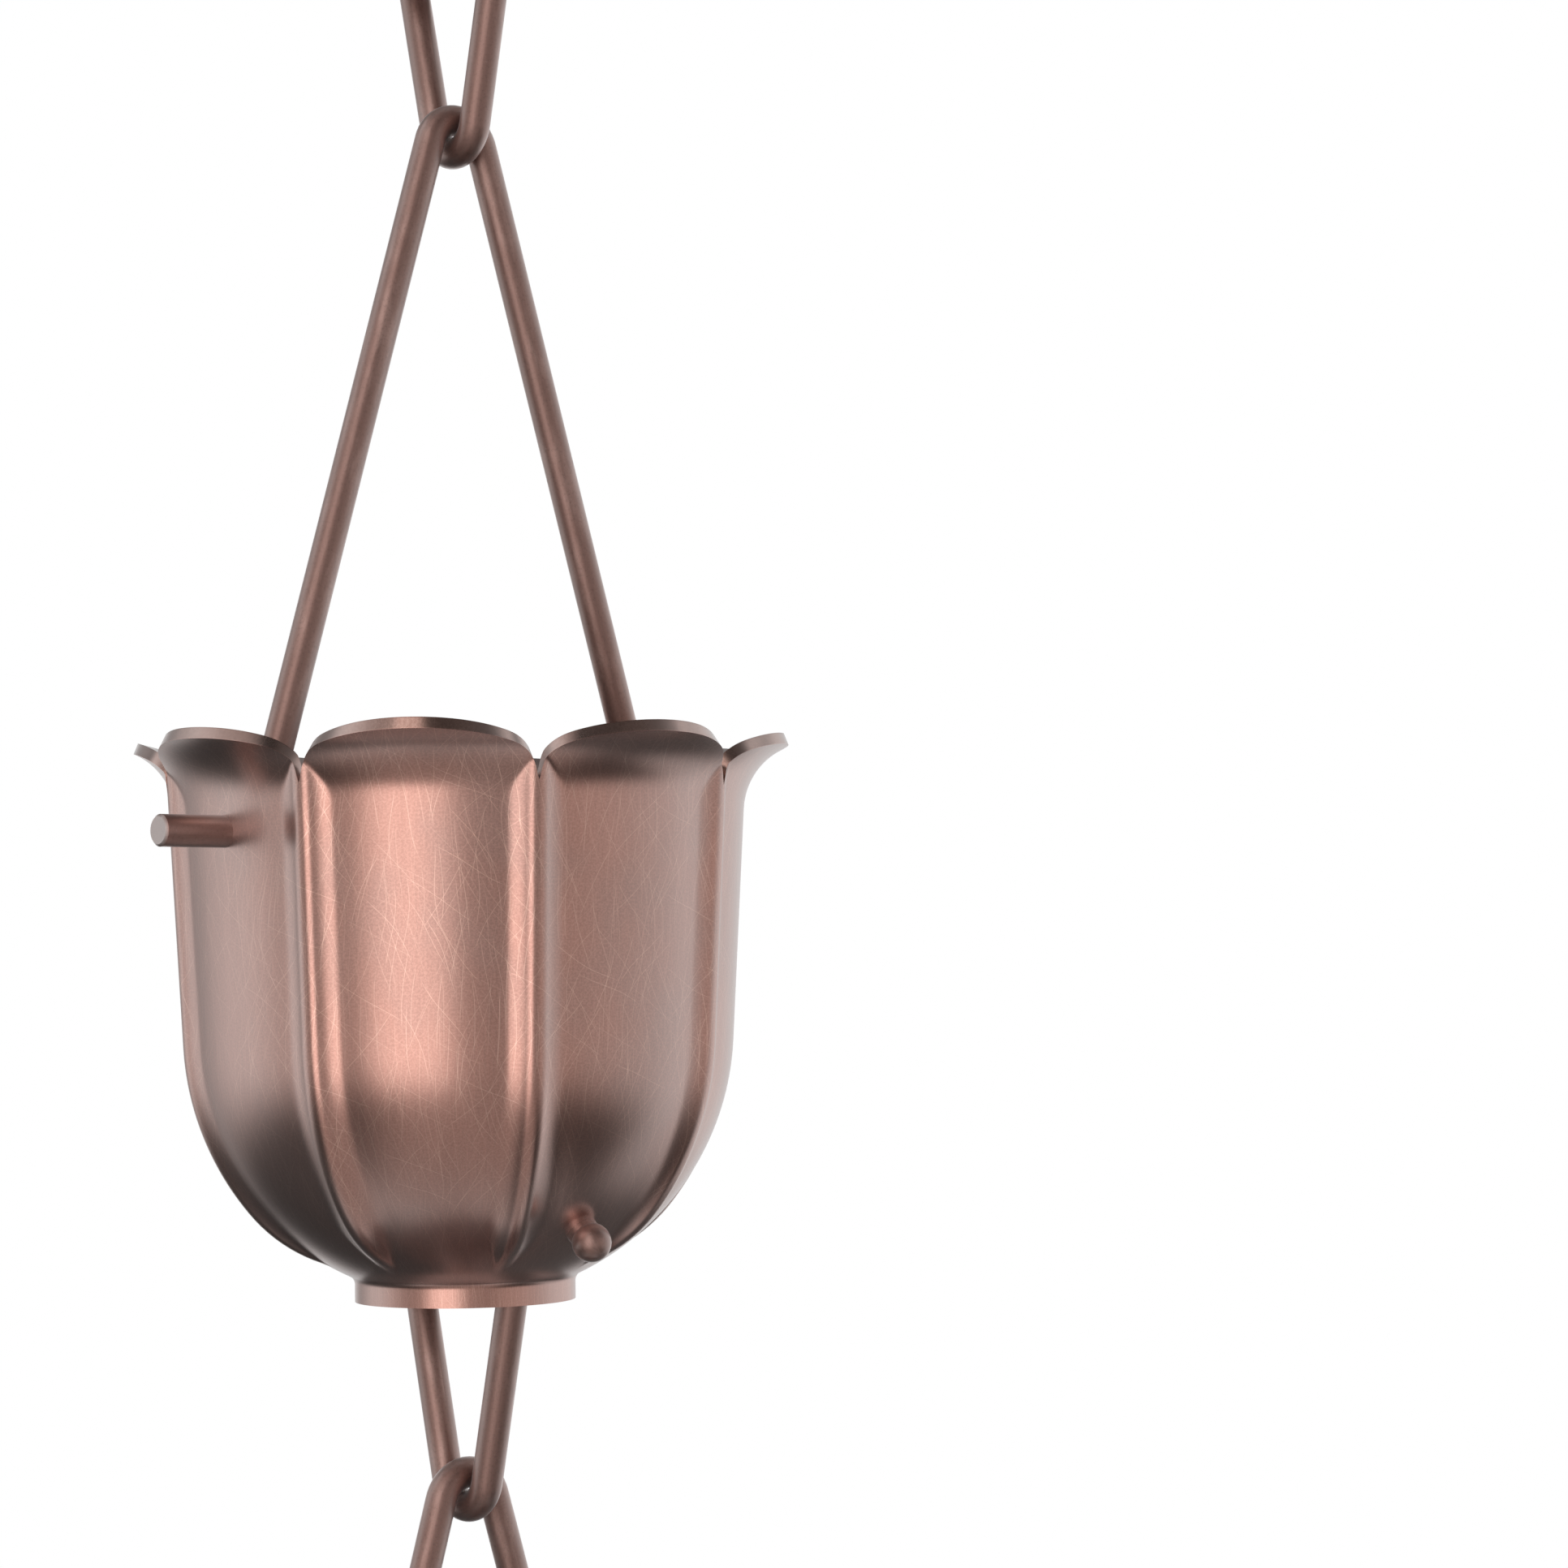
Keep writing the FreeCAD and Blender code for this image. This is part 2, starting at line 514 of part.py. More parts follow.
def hanger_path(body):
    """Stub, bend and leg on each side of the tight bend at the top, whose centre is the origin."""
    sketch = new_sketch(body, "hanger_path", "XZ_Plane")
    spread, height = size("hanger_half_spread"), size("hanger_height")
    lean = math.acos(hook_radius / math.hypot(spread, height)) - math.atan2(height, spread)
    tilt = math.degrees(lean)
    radius = size("hanger_bend_radius")
    bend_x = spread + radius * math.tan((math.pi / 2 - lean) / 2)
    top = arc(sketch, vec(0, 0), hook_radius, tilt, 180 - tilt)
    halves = []
    for sign in (1, -1):
        centre = vec(sign * bend_x, radius - height)
        if sign > 0:
            bend = arc(sketch, centre, radius, 180 + tilt, 270)
            top_end, leg_end, stub_end = START, START, END
            leg_top = polar(vec(0, 0), hook_radius, tilt)
            leg_foot = polar(centre, radius, 180 + tilt)
        else:
            bend = arc(sketch, centre, radius, 270, 360 - tilt)
            top_end, leg_end, stub_end = END, END, START
            leg_top = polar(vec(0, 0), hook_radius, 180 - tilt)
            leg_foot = polar(centre, radius, -tilt)
        leg = line(sketch, leg_top, leg_foot)
        stub = line(sketch, vec(centre.x, -height), vec(sign * size("stub_half_length"), -height))
        link(sketch, "Tangent", top, top_end, leg, START)
        link(sketch, "Tangent", leg, END, bend, leg_end)
        link(sketch, "Tangent", bend, stub_end, stub, START)
        link(sketch, "Horizontal", stub)
        halves.append((leg, bend, stub))
    (leg, bend, stub), (far_leg, far_bend, far_stub) = halves
    corner = sketch.addGeometry(Part.Point(vec(spread, -height)), True)
    link(sketch, "Coincident", top, CENTRE, *ORIGIN)
    link(sketch, "PointOnObject", corner, START, leg)
    link(sketch, "PointOnObject", corner, START, stub)
    link(sketch, "Symmetric", stub, END, far_stub, END, UPRIGHT_AXIS)
    link(sketch, "Equal", bend, far_bend)
    link(sketch, "Equal", leg, far_leg)
    bind(sketch, "Radius", (top,), HOOK_RADIUS, hook_radius)
    bind(sketch, "Radius", (bend,), "sizes.hanger_bend_radius", radius)
    bind(sketch, "DistanceX", (*ORIGIN, corner, START), "sizes.hanger_half_spread", spread)
    bind(sketch, "DistanceY", (corner, START, *ORIGIN), "sizes.hanger_height", height)
    bind(sketch, "DistanceX", (*ORIGIN, stub, END), "sizes.stub_half_length", size("stub_half_length"))
    doc.recompute()
    return sketch


def build_hanger(name):
    """One bent wire with stub ends, legs that lean together and a hook bend at the top."""
    body = doc.addObject("PartDesign::Body", name)
    path = hanger_path(body)
    pipe(body, "AdditivePipe", "hanger_wire", wire_section(body, "hanger_section", path), path)
    return body


def loop_path(body):
    """Stud, bend and leg on each side of the tight bend at the bottom, with z = 0 at the stub ends' axis."""
    sketch = new_sketch(body, "loop_path", "YZ_Plane")
    tilt, drop = size("loop_leg_angle"), size("stud_angle")
    radius = size("loop_bend_radius")
    low = vec(0, -size("loop_drop"))
    hole = polar(vec(0, -size("bowl_centre_depth")), size("bowl_radius") - size("sheet_thickness") / 2,
                 -size("stud_hole_angle"))
    leg_foot = polar(low, hook_radius, -tilt)
    leg_way = polar(vec(0, 0), 1, 90 - tilt)
    stud_way = polar(vec(0, 0), 1, -drop)
    gap = hole - leg_foot
    turn = leg_way.x * stud_way.y - leg_way.y * stud_way.x
    corner = leg_foot + leg_way * ((gap.x * stud_way.y - gap.y * stud_way.x) / turn)
    trim = radius * math.tan(math.radians(90 - tilt + drop) / 2)
    centre = corner - leg_way * trim + polar(vec(0, 0), radius, -tilt)
    ball = hole + stud_way * size("stud_length")
    bottom = arc(sketch, low, hook_radius, 180 + tilt, 360 - tilt)
    halves = []
    for sign in (1, -1):
        bend_centre = vec(sign * centre.x, centre.y)
        if sign > 0:
            bend = arc(sketch, bend_centre, radius, 90 - drop, 180 - tilt)
            bottom_end, leg_end, stud_end = END, END, START
        else:
            bend = arc(sketch, bend_centre, radius, tilt, 90 + drop)
            bottom_end, leg_end, stud_end = START, START, END
        leg_top = polar(centre, radius, 180 - tilt)
        stud_start = polar(centre, radius, 90 - drop)
        leg = line(sketch, vec(sign * leg_foot.x, leg_foot.y), vec(sign * leg_top.x, leg_top.y))
        stud = line(sketch, vec(sign * stud_start.x, stud_start.y), vec(sign * ball.x, ball.y))
        link(sketch, "Tangent", bottom, bottom_end, leg, START)
        link(sketch, "Tangent", leg, END, bend, leg_end)
        link(sketch, "Tangent", bend, stud_end, stud, START)
        halves.append((leg, bend, stud))
    (leg, bend, stud), (far_leg, far_bend, far_stud) = halves
    link(sketch, "PointOnObject", bottom, CENTRE, UPRIGHT_AXIS)
    link(sketch, "Symmetric", stud, END, far_stud, END, UPRIGHT_AXIS)
    link(sketch, "Equal", bend, far_bend)
    link(sketch, "Equal", leg, far_leg)
    link(sketch, "Equal", stud, far_stud)
    bind(sketch, "Radius", (bottom,), HOOK_RADIUS, hook_radius)
    bind(sketch, "Radius", (bend,), "sizes.loop_bend_radius", radius)
    bind(sketch, "DistanceY", (bottom, CENTRE, *ORIGIN), "sizes.loop_drop", size("loop_drop"))
    bind(sketch, "Angle", (leg,), "90 - sizes.loop_leg_angle", math.radians(90 - tilt))
    bind(sketch, "Angle", (stud,), "-sizes.stud_angle", math.radians(-drop))
    bind(sketch, "DistanceX", (*ORIGIN, stud, END), BALL_Y, ball.x)
    bind(sketch, "DistanceY", (*ORIGIN, stud, END), BALL_Z, ball.y)
    doc.recompute()
    return sketch


def build_loop(name):
    """One bent wire that ends in two balls, with a hook bend at the bottom."""
    body = doc.addObject("PartDesign::Body", name)
    path = loop_path(body)
    pipe(body, "AdditivePipe", "loop_wire", wire_section(body, "loop_section", path), path)
    ball = body.newObject("PartDesign::AdditiveSphere", "ball")
    ball.AttachmentSupport = (origin_plane(body, "XY_Plane"), "")
    ball.MapMode = "FlatFace"
    ball.setExpression("AttachmentOffset.Base.y", BALL_Y)
    ball.setExpression("AttachmentOffset.Base.z", BALL_Z)
    ball.setExpression("Radius", "sizes.ball_diameter / 2")
    doc.recompute()
    mirror_copy(body, "balls", ball)
    return body


def clone(master, name):
    """Another piece of the same form as the first one of its kind."""
    body = doc.addObject("PartDesign::Body", name)
    copy = body.newObject("PartDesign::FeatureBase", name + "_form")
    copy.BaseFeature = master
    body.Tip = copy
    doc.recompute()
    return body


def place(body, cup, drop):
    """Hang a piece at its cup's place in the chain; drop is its own origin below the hanger's bend."""
    body.setExpression("Placement.Base.z", "-(%s) - %d * %s" % (drop, cup, PITCH))


nodes = []
for kind, build, drop in (("hanger", build_hanger, "0"), ("cup", build_cup, "sizes.hanger_height"),
                          ("loop", build_loop, "sizes.hanger_height")):
    master = build(kind + "_1")
    for cup in range(CUP_COUNT):
        name = "%s_%d" % (kind, cup + 1)
        body = master if cup == 0 else clone(master, name)
        place(body, cup, drop)
        nodes.append(body)
doc.recompute()
for thing in doc.Objects:
    if "Invalid" in thing.State or "Error" in thing.State:
        raise RuntimeError("%s: %s" % (thing.Name, thing.State))
os.makedirs("parts", exist_ok=True)
for node in nodes:
    if node.Shape.isNull() or not node.Shape.isValid():
        raise RuntimeError("%s has no valid shape" % node.Label)
    node.Shape.exportStep("parts/%s.step" % node.Label)
    print(node.Label, round(node.Shape.Volume, 1), "mm3 in", len(node.Shape.Solids), "solid")
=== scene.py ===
import math

import bpy
import numpy as np
from mathutils import Euler, Matrix


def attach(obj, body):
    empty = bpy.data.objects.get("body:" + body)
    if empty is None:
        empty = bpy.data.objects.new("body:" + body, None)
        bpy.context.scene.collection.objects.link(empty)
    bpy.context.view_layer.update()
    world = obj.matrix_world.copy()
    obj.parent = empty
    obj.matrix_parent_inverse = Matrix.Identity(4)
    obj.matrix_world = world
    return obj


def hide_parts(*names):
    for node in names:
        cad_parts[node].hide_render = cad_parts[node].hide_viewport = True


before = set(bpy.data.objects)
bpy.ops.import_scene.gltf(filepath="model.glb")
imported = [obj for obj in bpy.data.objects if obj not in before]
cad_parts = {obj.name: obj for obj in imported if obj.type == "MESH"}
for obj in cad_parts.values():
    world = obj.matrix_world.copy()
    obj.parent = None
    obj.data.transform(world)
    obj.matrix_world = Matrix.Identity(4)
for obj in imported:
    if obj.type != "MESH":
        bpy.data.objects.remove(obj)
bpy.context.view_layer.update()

# Hangers. Each is one length of round copper wire, bent cold into an upside-down V: a tight hook at the
# top, two straight legs, and two stub ends turned outwards through the sides of its cup.
CUP_COUNT = 5
WIRE_RADIUS = 0.002
HOOK_RADIUS = 0.0043
HANGER_HEIGHT = 0.089
HANGER_SPREAD = 0.0315
HANGER_BEND = 0.0045
STUB_REACH = 0.0457
STUB_CHAMFER = 0.0003
LOOP_DROP = 0.0814
PITCH = HANGER_HEIGHT + LOOP_DROP + HOOK_RADIUS
WIRE_SIDES = 28
WIRE_STEP = 0.0006
WIRE_CREASE = math.radians(30)
BEND_POINTS = 60
X_AXIS, Y_AXIS, Z_AXIS = np.eye(3)
WIRE_BROWN = (0.36, 0.205, 0.17, 1)
WIRE_RUBBED = (0.50, 0.31, 0.265, 1)
WIRE_DARK = (0.17, 0.105, 0.09, 1)
WIRE_PALE = (0.66, 0.47, 0.41, 1)
# The cut ends: paler for bare metal, and greyer as a painted sheen.
SAWN_END_AND_PAINTED_SHEEN = (0.66, 0.56, 0.53, 1)
PIT_AMOUNT = 0.35
DRAWN_AMOUNT = 0.14
GLINT_AMOUNT = 0.4
WIRE_ROUGHNESS = 0.34
WIRE_RELIEF = 0.00006
SHEEN_ROUGHNESS = 0.45


class Shade:
    """A socket of a shader tree. Arithmetic on it adds Math nodes, and node() adds any other node."""

    def __init__(self, tree, socket=None):
        self.tree = tree
        self.socket = socket

    def node(self, kind, settings=None, inputs=None, output=0):
        """Adds a node of that type, sets its settings first and then its sockets, and wraps one output."""
        made = self.tree.nodes.new(kind)
        for name, value in (settings or {}).items():
            setattr(made, name, value)
        for name, value in (inputs or {}).items():
            if isinstance(value, Shade):
                self.tree.links.new(value.socket, made.inputs[name])
            else:
                made.inputs[name].default_value = value
        return Shade(self.tree, made.outputs[output])

    def math(self, operation, *values):
        """A Math node over numbers and other sockets."""
        return self.node("ShaderNodeMath", {"operation": operation}, dict(enumerate(values)))

    def __add__(self, other):
        return self.math("ADD", self, other)

    def __sub__(self, other):
        return self.math("SUBTRACT", self, other)

    def __rsub__(self, other):
        return self.math("SUBTRACT", other, self)

    def __mul__(self, other):
        return self.math("MULTIPLY", self, other)

    def __truediv__(self, other):
        return self.math("DIVIDE", self, other)

    __radd__ = __add__
    __rmul__ = __mul__

    def step(self, low, high):
        """0 up to low, 1 from high and a smooth rise between them; it falls where low is above high."""
        inputs = {"Value": self, "From Min": low, "From Max": high}
        return self.node("ShaderNodeMapRange", {"interpolation_type": "SMOOTHSTEP"}, inputs)

    def tint(self, low, high):
        """The colour low where this value is 0 and the colour high where it is 1.

        A Mix node has its colours after its other kinds of value: inputs 6 and 7, and output 2.
        """
        return self.node("ShaderNodeMix", {"data_type": "RGBA"}, {0: self, 6: low, 7: high}, 2)

    def noise(self, scale, detail, roughness):
        """Smooth noise between 0 and 1 over this vector, whose three parts are first scaled."""
        placed = self.node("ShaderNodeMapping", None, {"Vector": self, "Scale": scale})
        inputs = {"Vector": placed, "Scale": 1.0, "Detail": detail, "Roughness": roughness}
        return self.node("ShaderNodeTexNoise", None, inputs)


def new_finish(name):
    """A new material, its surface shader, and a Shade to start its tree from."""
    material = bpy.data.materials.new(name)
    material.use_nodes = True
    surface = material.node_tree.nodes["Principled BSDF"]
    return material, surface, Shade(material.node_tree)


def feed(surface, **values):
    """Links what varies to the sockets of a shader, and sets what is constant on the sockets themselves."""
    for name, value in values.items():
        socket = surface.inputs[name.replace("_", " ")]
        if isinstance(value, Shade):
            value.tree.links.new(value.socket, socket)
        else:
            socket.default_value = value


def grid_mesh(name, points, uv, poles=None):
    """A mesh from a grid of points, closed round its second direction.

    Quads join each row to the next. With poles, one point before the first row and one after the last
    close the ends with fans; without them, the last row joins the first and the shape is a ring. The uv
    grid has one column more than the points, and in a ring one row more.
    """
    rows, sides = points.shape[:2]
    index = np.arange(rows * sides).reshape(rows, sides)
    if poles is None:
        index = np.vstack([index, index[:1]])
    around = np.roll(index, -1, axis=1)
    faces = np.stack([index[:-1], around[:-1], around[1:], index[1:]], axis=-1).reshape(-1, 4)
    corners = np.stack([uv[:-1, :-1], uv[:-1, 1:], uv[1:, 1:], uv[1:, :-1]], axis=2).reshape(-1, 2)
    vertices = points.reshape(-1, 3)
    loops = faces.ravel()
    starts = np.arange(len(faces)) * 4
    if poles is not None:
        first, last = len(vertices), len(vertices) + 1
        vertices = np.vstack([vertices, poles])
        fans = [np.stack([np.full(sides, first), np.roll(index[0], -1), index[0]], axis=-1),
                np.stack([np.full(sides, last), index[-1], np.roll(index[-1], -1)], axis=-1)]
        fan_uv = [np.stack([uv[0, :-1], uv[0, 1:], uv[0, :-1]], axis=1),
                  np.stack([uv[-1, :-1], uv[-1, :-1], uv[-1, 1:]], axis=1)]
        starts = np.concatenate([starts, len(loops) + np.arange(2 * sides) * 3])
        loops = np.concatenate([loops, np.concatenate(fans).ravel()])
        corners = np.vstack([corners, np.concatenate(fan_uv).reshape(-1, 2)])
    mesh = bpy.data.meshes.new(name)
    mesh.vertices.add(len(vertices))
    mesh.vertices.foreach_set("co", vertices.astype(np.float32).ravel())
    mesh.loops.add(len(loops))
    mesh.loops.foreach_set("vertex_index", loops.astype(np.int32))
    mesh.polygons.add(len(starts))
    mesh.polygons.foreach_set("loop_start", starts.astype(np.int32))
    mesh.update(calc_edges=True)
    layer = mesh.uv_layers.new(name="unrolled")
    layer.data.foreach_set("uv", corners.astype(np.float32).ravel())
    mesh.polygons.foreach_set("use_smooth", np.ones(len(starts), bool))
    mesh.validate()
    return mesh


def mark_points(mesh, name, values):
    """Stores a number with each point of a mesh, for its material to read."""
    layer = mesh.attributes.new(name, "FLOAT", "POINT")
    layer.data.foreach_set("value", values.astype(np.float32))


def crossed(one, other):
    """The cross product of two directions in a plane, positive where the second lies to the left."""
    return one[0] * other[1] - one[1] * other[0]


def rounded_path(corners, radii):
    """Straight runs between corners, each corner rounded by an arc that touches both of its runs.

    Gives points in a plane at even distances, the unit direction at each, and the distances.
    """
    points = [corners[0]]
    for before, corner, after, radius in zip(corners, corners[1:], corners[2:], radii):
        way_in = (corner - before) / np.linalg.norm(corner - before)
        way_out = (after - corner) / np.linalg.norm(after - corner)
        turn = math.atan2(crossed(way_in, way_out), way_in @ way_out)
        side = np.array([-way_in[1], way_in[0]]) * np.sign(turn)
        start = corner - way_in * radius * math.tan(abs(turn) / 2)
        swept = np.linspace(0, abs(turn), BEND_POINTS)[:, None]
        points.extend(start + side * radius + radius * (np.sin(swept) * way_in - np.cos(swept) * side))
    points = np.vstack([points, corners[-1]])
    run = np.concatenate([[0], np.cumsum(np.linalg.norm(np.diff(points, axis=0), axis=1))])
    along = np.linspace(0, run[-1], int(run[-1] / WIRE_STEP))
    at = np.stack([np.interp(along, run, points[:, k]) for k in (0, 1)], axis=1)
    ways = np.gradient(at, along, axis=0)
    return at, ways / np.linalg.norm(ways, axis=1)[:, None], along


def wire_mesh(name, corners, radii, level, end_profile):
    """A round wire along a rounded path in the plane of one level axis and z.

    Each ring is cos t times the path's own normal plus sin t times the third axis, times the radius there;
    end_profile gives distance from the tip and radius for the rings that shape both ends.
    """
    flat, ways, along = rounded_path(np.array(corners), radii)
    tip_rows = end_profile[:, 0]
    middle = along[(along > tip_rows[-1]) & (along < along[-1] - tip_rows[-1])]
    rows = np.concatenate([tip_rows, middle, along[-1] - tip_rows[::-1]])
    from_tip = np.minimum(rows, along[-1] - rows)
    radius = np.interp(from_tip, tip_rows, end_profile[:, 1])
    at = np.stack([np.interp(rows, along, flat[:, k]) for k in (0, 1)], axis=1)
    way = np.stack([np.interp(rows, along, ways[:, k]) for k in (0, 1)], axis=1)
    centre = at[:, :1] * level + at[:, 1:] * Z_AXIS
    normal = -way[:, 1:] * level + way[:, :1] * Z_AXIS
    third = np.cross(way[0, 0] * level + way[0, 1] * Z_AXIS, normal[0])
    turn = np.linspace(0, 2 * math.pi, WIRE_SIDES + 1)
    round_turn = turn[:-1, None]
    ring = np.cos(round_turn) * normal[:, None] + np.sin(round_turn) * third
    points = centre[:, None] + radius[:, None, None] * ring
    uv = np.stack(np.broadcast_arrays(turn[None, :] * WIRE_RADIUS, rows[:, None]), axis=-1)
    mesh = grid_mesh(name, points, uv, np.stack([centre[0], centre[-1]]))
    # The sawn ends, which the finish paints paler grey: partly bare metal, partly a painted sheen.
    sawn_and_sheen = np.zeros(len(rows))
    sawn_and_sheen[[0, -1]] = end_profile[0, 1] > WIRE_RADIUS / 2
    mark_points(mesh, "sawn_and_sheen", np.append(np.repeat(sawn_and_sheen, WIRE_SIDES), sawn_and_sheen[[0, -1]]))
    mesh.set_sharp_from_angle(angle=WIRE_CREASE)
    return mesh


def hang(mesh, kind, cup, drop, material):
    """Lowers a copy of a mesh to its cup's place, and makes it the piece that stands for its node."""
    node = "%s_%d" % (kind, cup + 1)
    copy = mesh.copy()
    place = np.empty(len(copy.vertices) * 3, np.float32)
    copy.vertices.foreach_get("co", place)
    place[2::3] -= drop + PITCH * cup
    copy.vertices.foreach_set("co", place)
    copy.materials.append(material)
    piece = bpy.data.objects.new(node + "_piece", copy)
    bpy.context.scene.collection.objects.link(piece)
    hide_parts(node)
    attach(piece, node)


def film_weight(shade, least, gain):
    """The weight of a thin film over the metal, which shows more where the surface slants away."""
    slant = shade.node("ShaderNodeLayerWeight", None, {"Blend": 0.5}, "Facing")
    return least + slant.step(0.06, 0.42) * gain


def wire_finish():
    """Darkened copper wire: drawn along its length, speckled, a little paler where it has been rubbed."""
    material, surface, shade = new_finish("darkened_copper_wire")
    unrolled = shade.node("ShaderNodeUVMap", {"uv_map": "unrolled"})
    sawn_and_sheen = shade.node("ShaderNodeAttribute", {"attribute_name": "sawn_and_sheen"}, None, "Fac")
    drawn = unrolled.noise((5200, 160, 1), detail=3.0, roughness=0.6)
    speck = unrolled.noise((2600, 2300, 1), detail=4.0, roughness=0.65)
    rubbed = unrolled.noise((330, 70, 1), detail=3.0, roughness=0.6).step(0.45, 0.7)
    pits = speck.step(0.52, 0.30) * PIT_AMOUNT + drawn.step(0.5, 0.3) * DRAWN_AMOUNT
    glints = speck.step(0.60, 0.78) * GLINT_AMOUNT
    pitted = pits.tint(rubbed.tint(WIRE_BROWN, WIRE_RUBBED), WIRE_DARK)
    relief = {"Strength": 0.35, "Distance": WIRE_RELIEF, "Height": speck * 0.7 + drawn * 0.5}
    feed(surface,
         Metallic=1.0,
         # The cut ends are tinted paler grey: partly bare metal and partly a painted sheen.
         Base_Color=sawn_and_sheen.tint(glints.tint(pitted, WIRE_PALE), SAWN_END_AND_PAINTED_SHEEN),
         Roughness=WIRE_ROUGHNESS + speck * 0.16 + drawn * 0.10 + sawn_and_sheen * 0.15,
         Normal=shade.node("ShaderNodeBump", None, relief),
         Coat_Weight=film_weight(shade, least=0.1, gain=0.8),
         Coat_Roughness=0.30,
         Coat_IOR=2.2,
         Sheen_Weight=0.3,
         Sheen_Roughness=SHEEN_ROUGHNESS)
    return material


to_stub = math.hypot(HANGER_SPREAD, HANGER_HEIGHT)
lean = math.acos(HOOK_RADIUS / to_stub) - math.atan2(HANGER_HEIGHT, HANGER_SPREAD)
hanger_corners = [(-STUB_REACH, -HANGER_HEIGHT), (-HANGER_SPREAD, -HANGER_HEIGHT),
                  (0.0, HOOK_RADIUS / math.sin(lean)),
                  (HANGER_SPREAD, -HANGER_HEIGHT), (STUB_REACH, -HANGER_HEIGHT)]
hanger_bends = (HANGER_BEND, HOOK_RADIUS, HANGER_BEND)
stub_end = np.array([(0.0, WIRE_RADIUS - STUB_CHAMFER), (STUB_CHAMFER, WIRE_RADIUS)])
hanger_form = wire_mesh("hanger", hanger_corners, hanger_bends, X_AXIS, stub_end)
wire_material = wire_finish()
for cup in range(CUP_COUNT):
    hang(hanger_form, "hanger", cup, 0.0, wire_material)

# Cups. Each is one sheet of copper pressed into a round bowl with an open collar below and eight petals
# above, whose lips flare outwards; a seam between each two petals stands proud and ends in a notch.
PETALS = 8
HALF_PETAL = math.pi / PETALS
SHEET = 0.0015
BOWL_RADIUS = 0.0348
BOWL_DEPTH = 0.0246
SIDE_ANGLE = math.radians(3.3)
FLARE_START = 0.0031
FLARE_RADIUS = 0.0092
FLARE_END = math.radians(80)
COLLAR_RADIUS = 0.0141
COLLAR_DEPTH = 0.0594
NECK_RADIUS = 0.0012
SEAM_HEIGHT = 0.0014
SEAM_CREST = 0.002
SEAM_FOOT = 0.0075
SEAM_HALF_WIDTH = 0.0043
SEAM_FOOT_DEPTH = 0.00035
SEAM_SOFTNESS = 0.00008
SEAM_TOP_RADIUS = 0.060
SEAM_FADE_ANGLE = math.radians(40)
SEAM_FADE_RADIUS = 0.020
PETAL_TIP = math.radians(69.2)
TRIM_LEAN = math.radians(40)
PETAL_END_RADIUS = 0.0188
SHOULDER_RADIUS = 0.0063
NOTCH_FLARE = math.radians(19.5)
NOTCH_WIDTH = 0.0004
NOTCH_SHARE = 0.62
EDGE_CHAMFER = 0.12
EDGE_LENGTHS = np.array([[0.0004], [0.0011]])
TRIM_SEARCH_END = math.radians(79)
TRIM_SEARCH_STEPS = 1500
HALF_COLUMNS = 36
COLUMN_CROWDING = 1.7
FLARE_CROWDING = 0.9
OUTER_ROWS = (4, 7, 34, 12)
OUTER_FLARE_ROWS = 20
INNER_ROWS = (3, 5, 20, 6)
INNER_FLARE_ROWS = 11
SHEET_CREASE = math.radians(38)
SCRATCH_ANGLES = (3, -8, 14, -19, 27, -34, 43, -62)
SCRATCH_SPACING = 0.0008
SCRATCH_THINNING = 0.00003
SCRATCH_LENGTH = 0.012
SCRATCH_BEND = 0.0034
SCRATCH_EDGE = 0.00006
SCRATCH_CORE = 0.00001
SCRATCH_WAVES = (85, 85, 1)
SCRATCH_SCATTER = 7
SCRATCH_MARGIN = 0.1
SCRATCH_TAPER = (0.48, 0.25)
SCRATCH_FAINTEST = 0.35
ROSY_DEEP = (0.535, 0.270, 0.213, 1)
ROSY_LIGHT = (0.610, 0.315, 0.253, 1)
DULL_BROWN = (0.46, 0.33, 0.30, 1)
GRAIN_DARK = (0.36, 0.20, 0.165, 1)
SPECK_LIGHT = (0.82, 0.46, 0.375, 1)
SCRATCH_LIGHT = (0.97, 0.62, 0.50, 1)
RIM_DEEP = (0.50, 0.31, 0.255, 1)
RIM_LIGHT = (0.66, 0.43, 0.36, 1)
# The dark painted on the cup's inner face: painted shade in its hollow.
INSIDE_PAINTED_SHADE = (0.28, 0.13, 0.095, 1)
GRAZING_GREY = (0.45, 0.45, 0.45, 1)
DULL_AMOUNT = 0.35
GRAIN_AMOUNT = 0.26
SPECK_AMOUNT = 0.34
SCRATCH_AMOUNT = 0.48
RIM_AMOUNT = 0.75
# How far the inner face is darkened by that painted shade.
INSIDE_SHADE_AMOUNT = 0.8
SHEET_ROUGHNESS = 0.26
SHEET_RELIEF = 0.00005


def flare_centre():
    """Radius and height of the centre of the lip's curve, which the straight side touches at its top."""
    side = BOWL_RADIUS / math.cos(SIDE_ANGLE) + (FLARE_START + BOWL_DEPTH) * math.tan(SIDE_ANGLE)
    return side + FLARE_RADIUS * math.cos(SIDE_ANGLE), FLARE_START - FLARE_RADIUS * math.sin(SIDE_ANGLE)


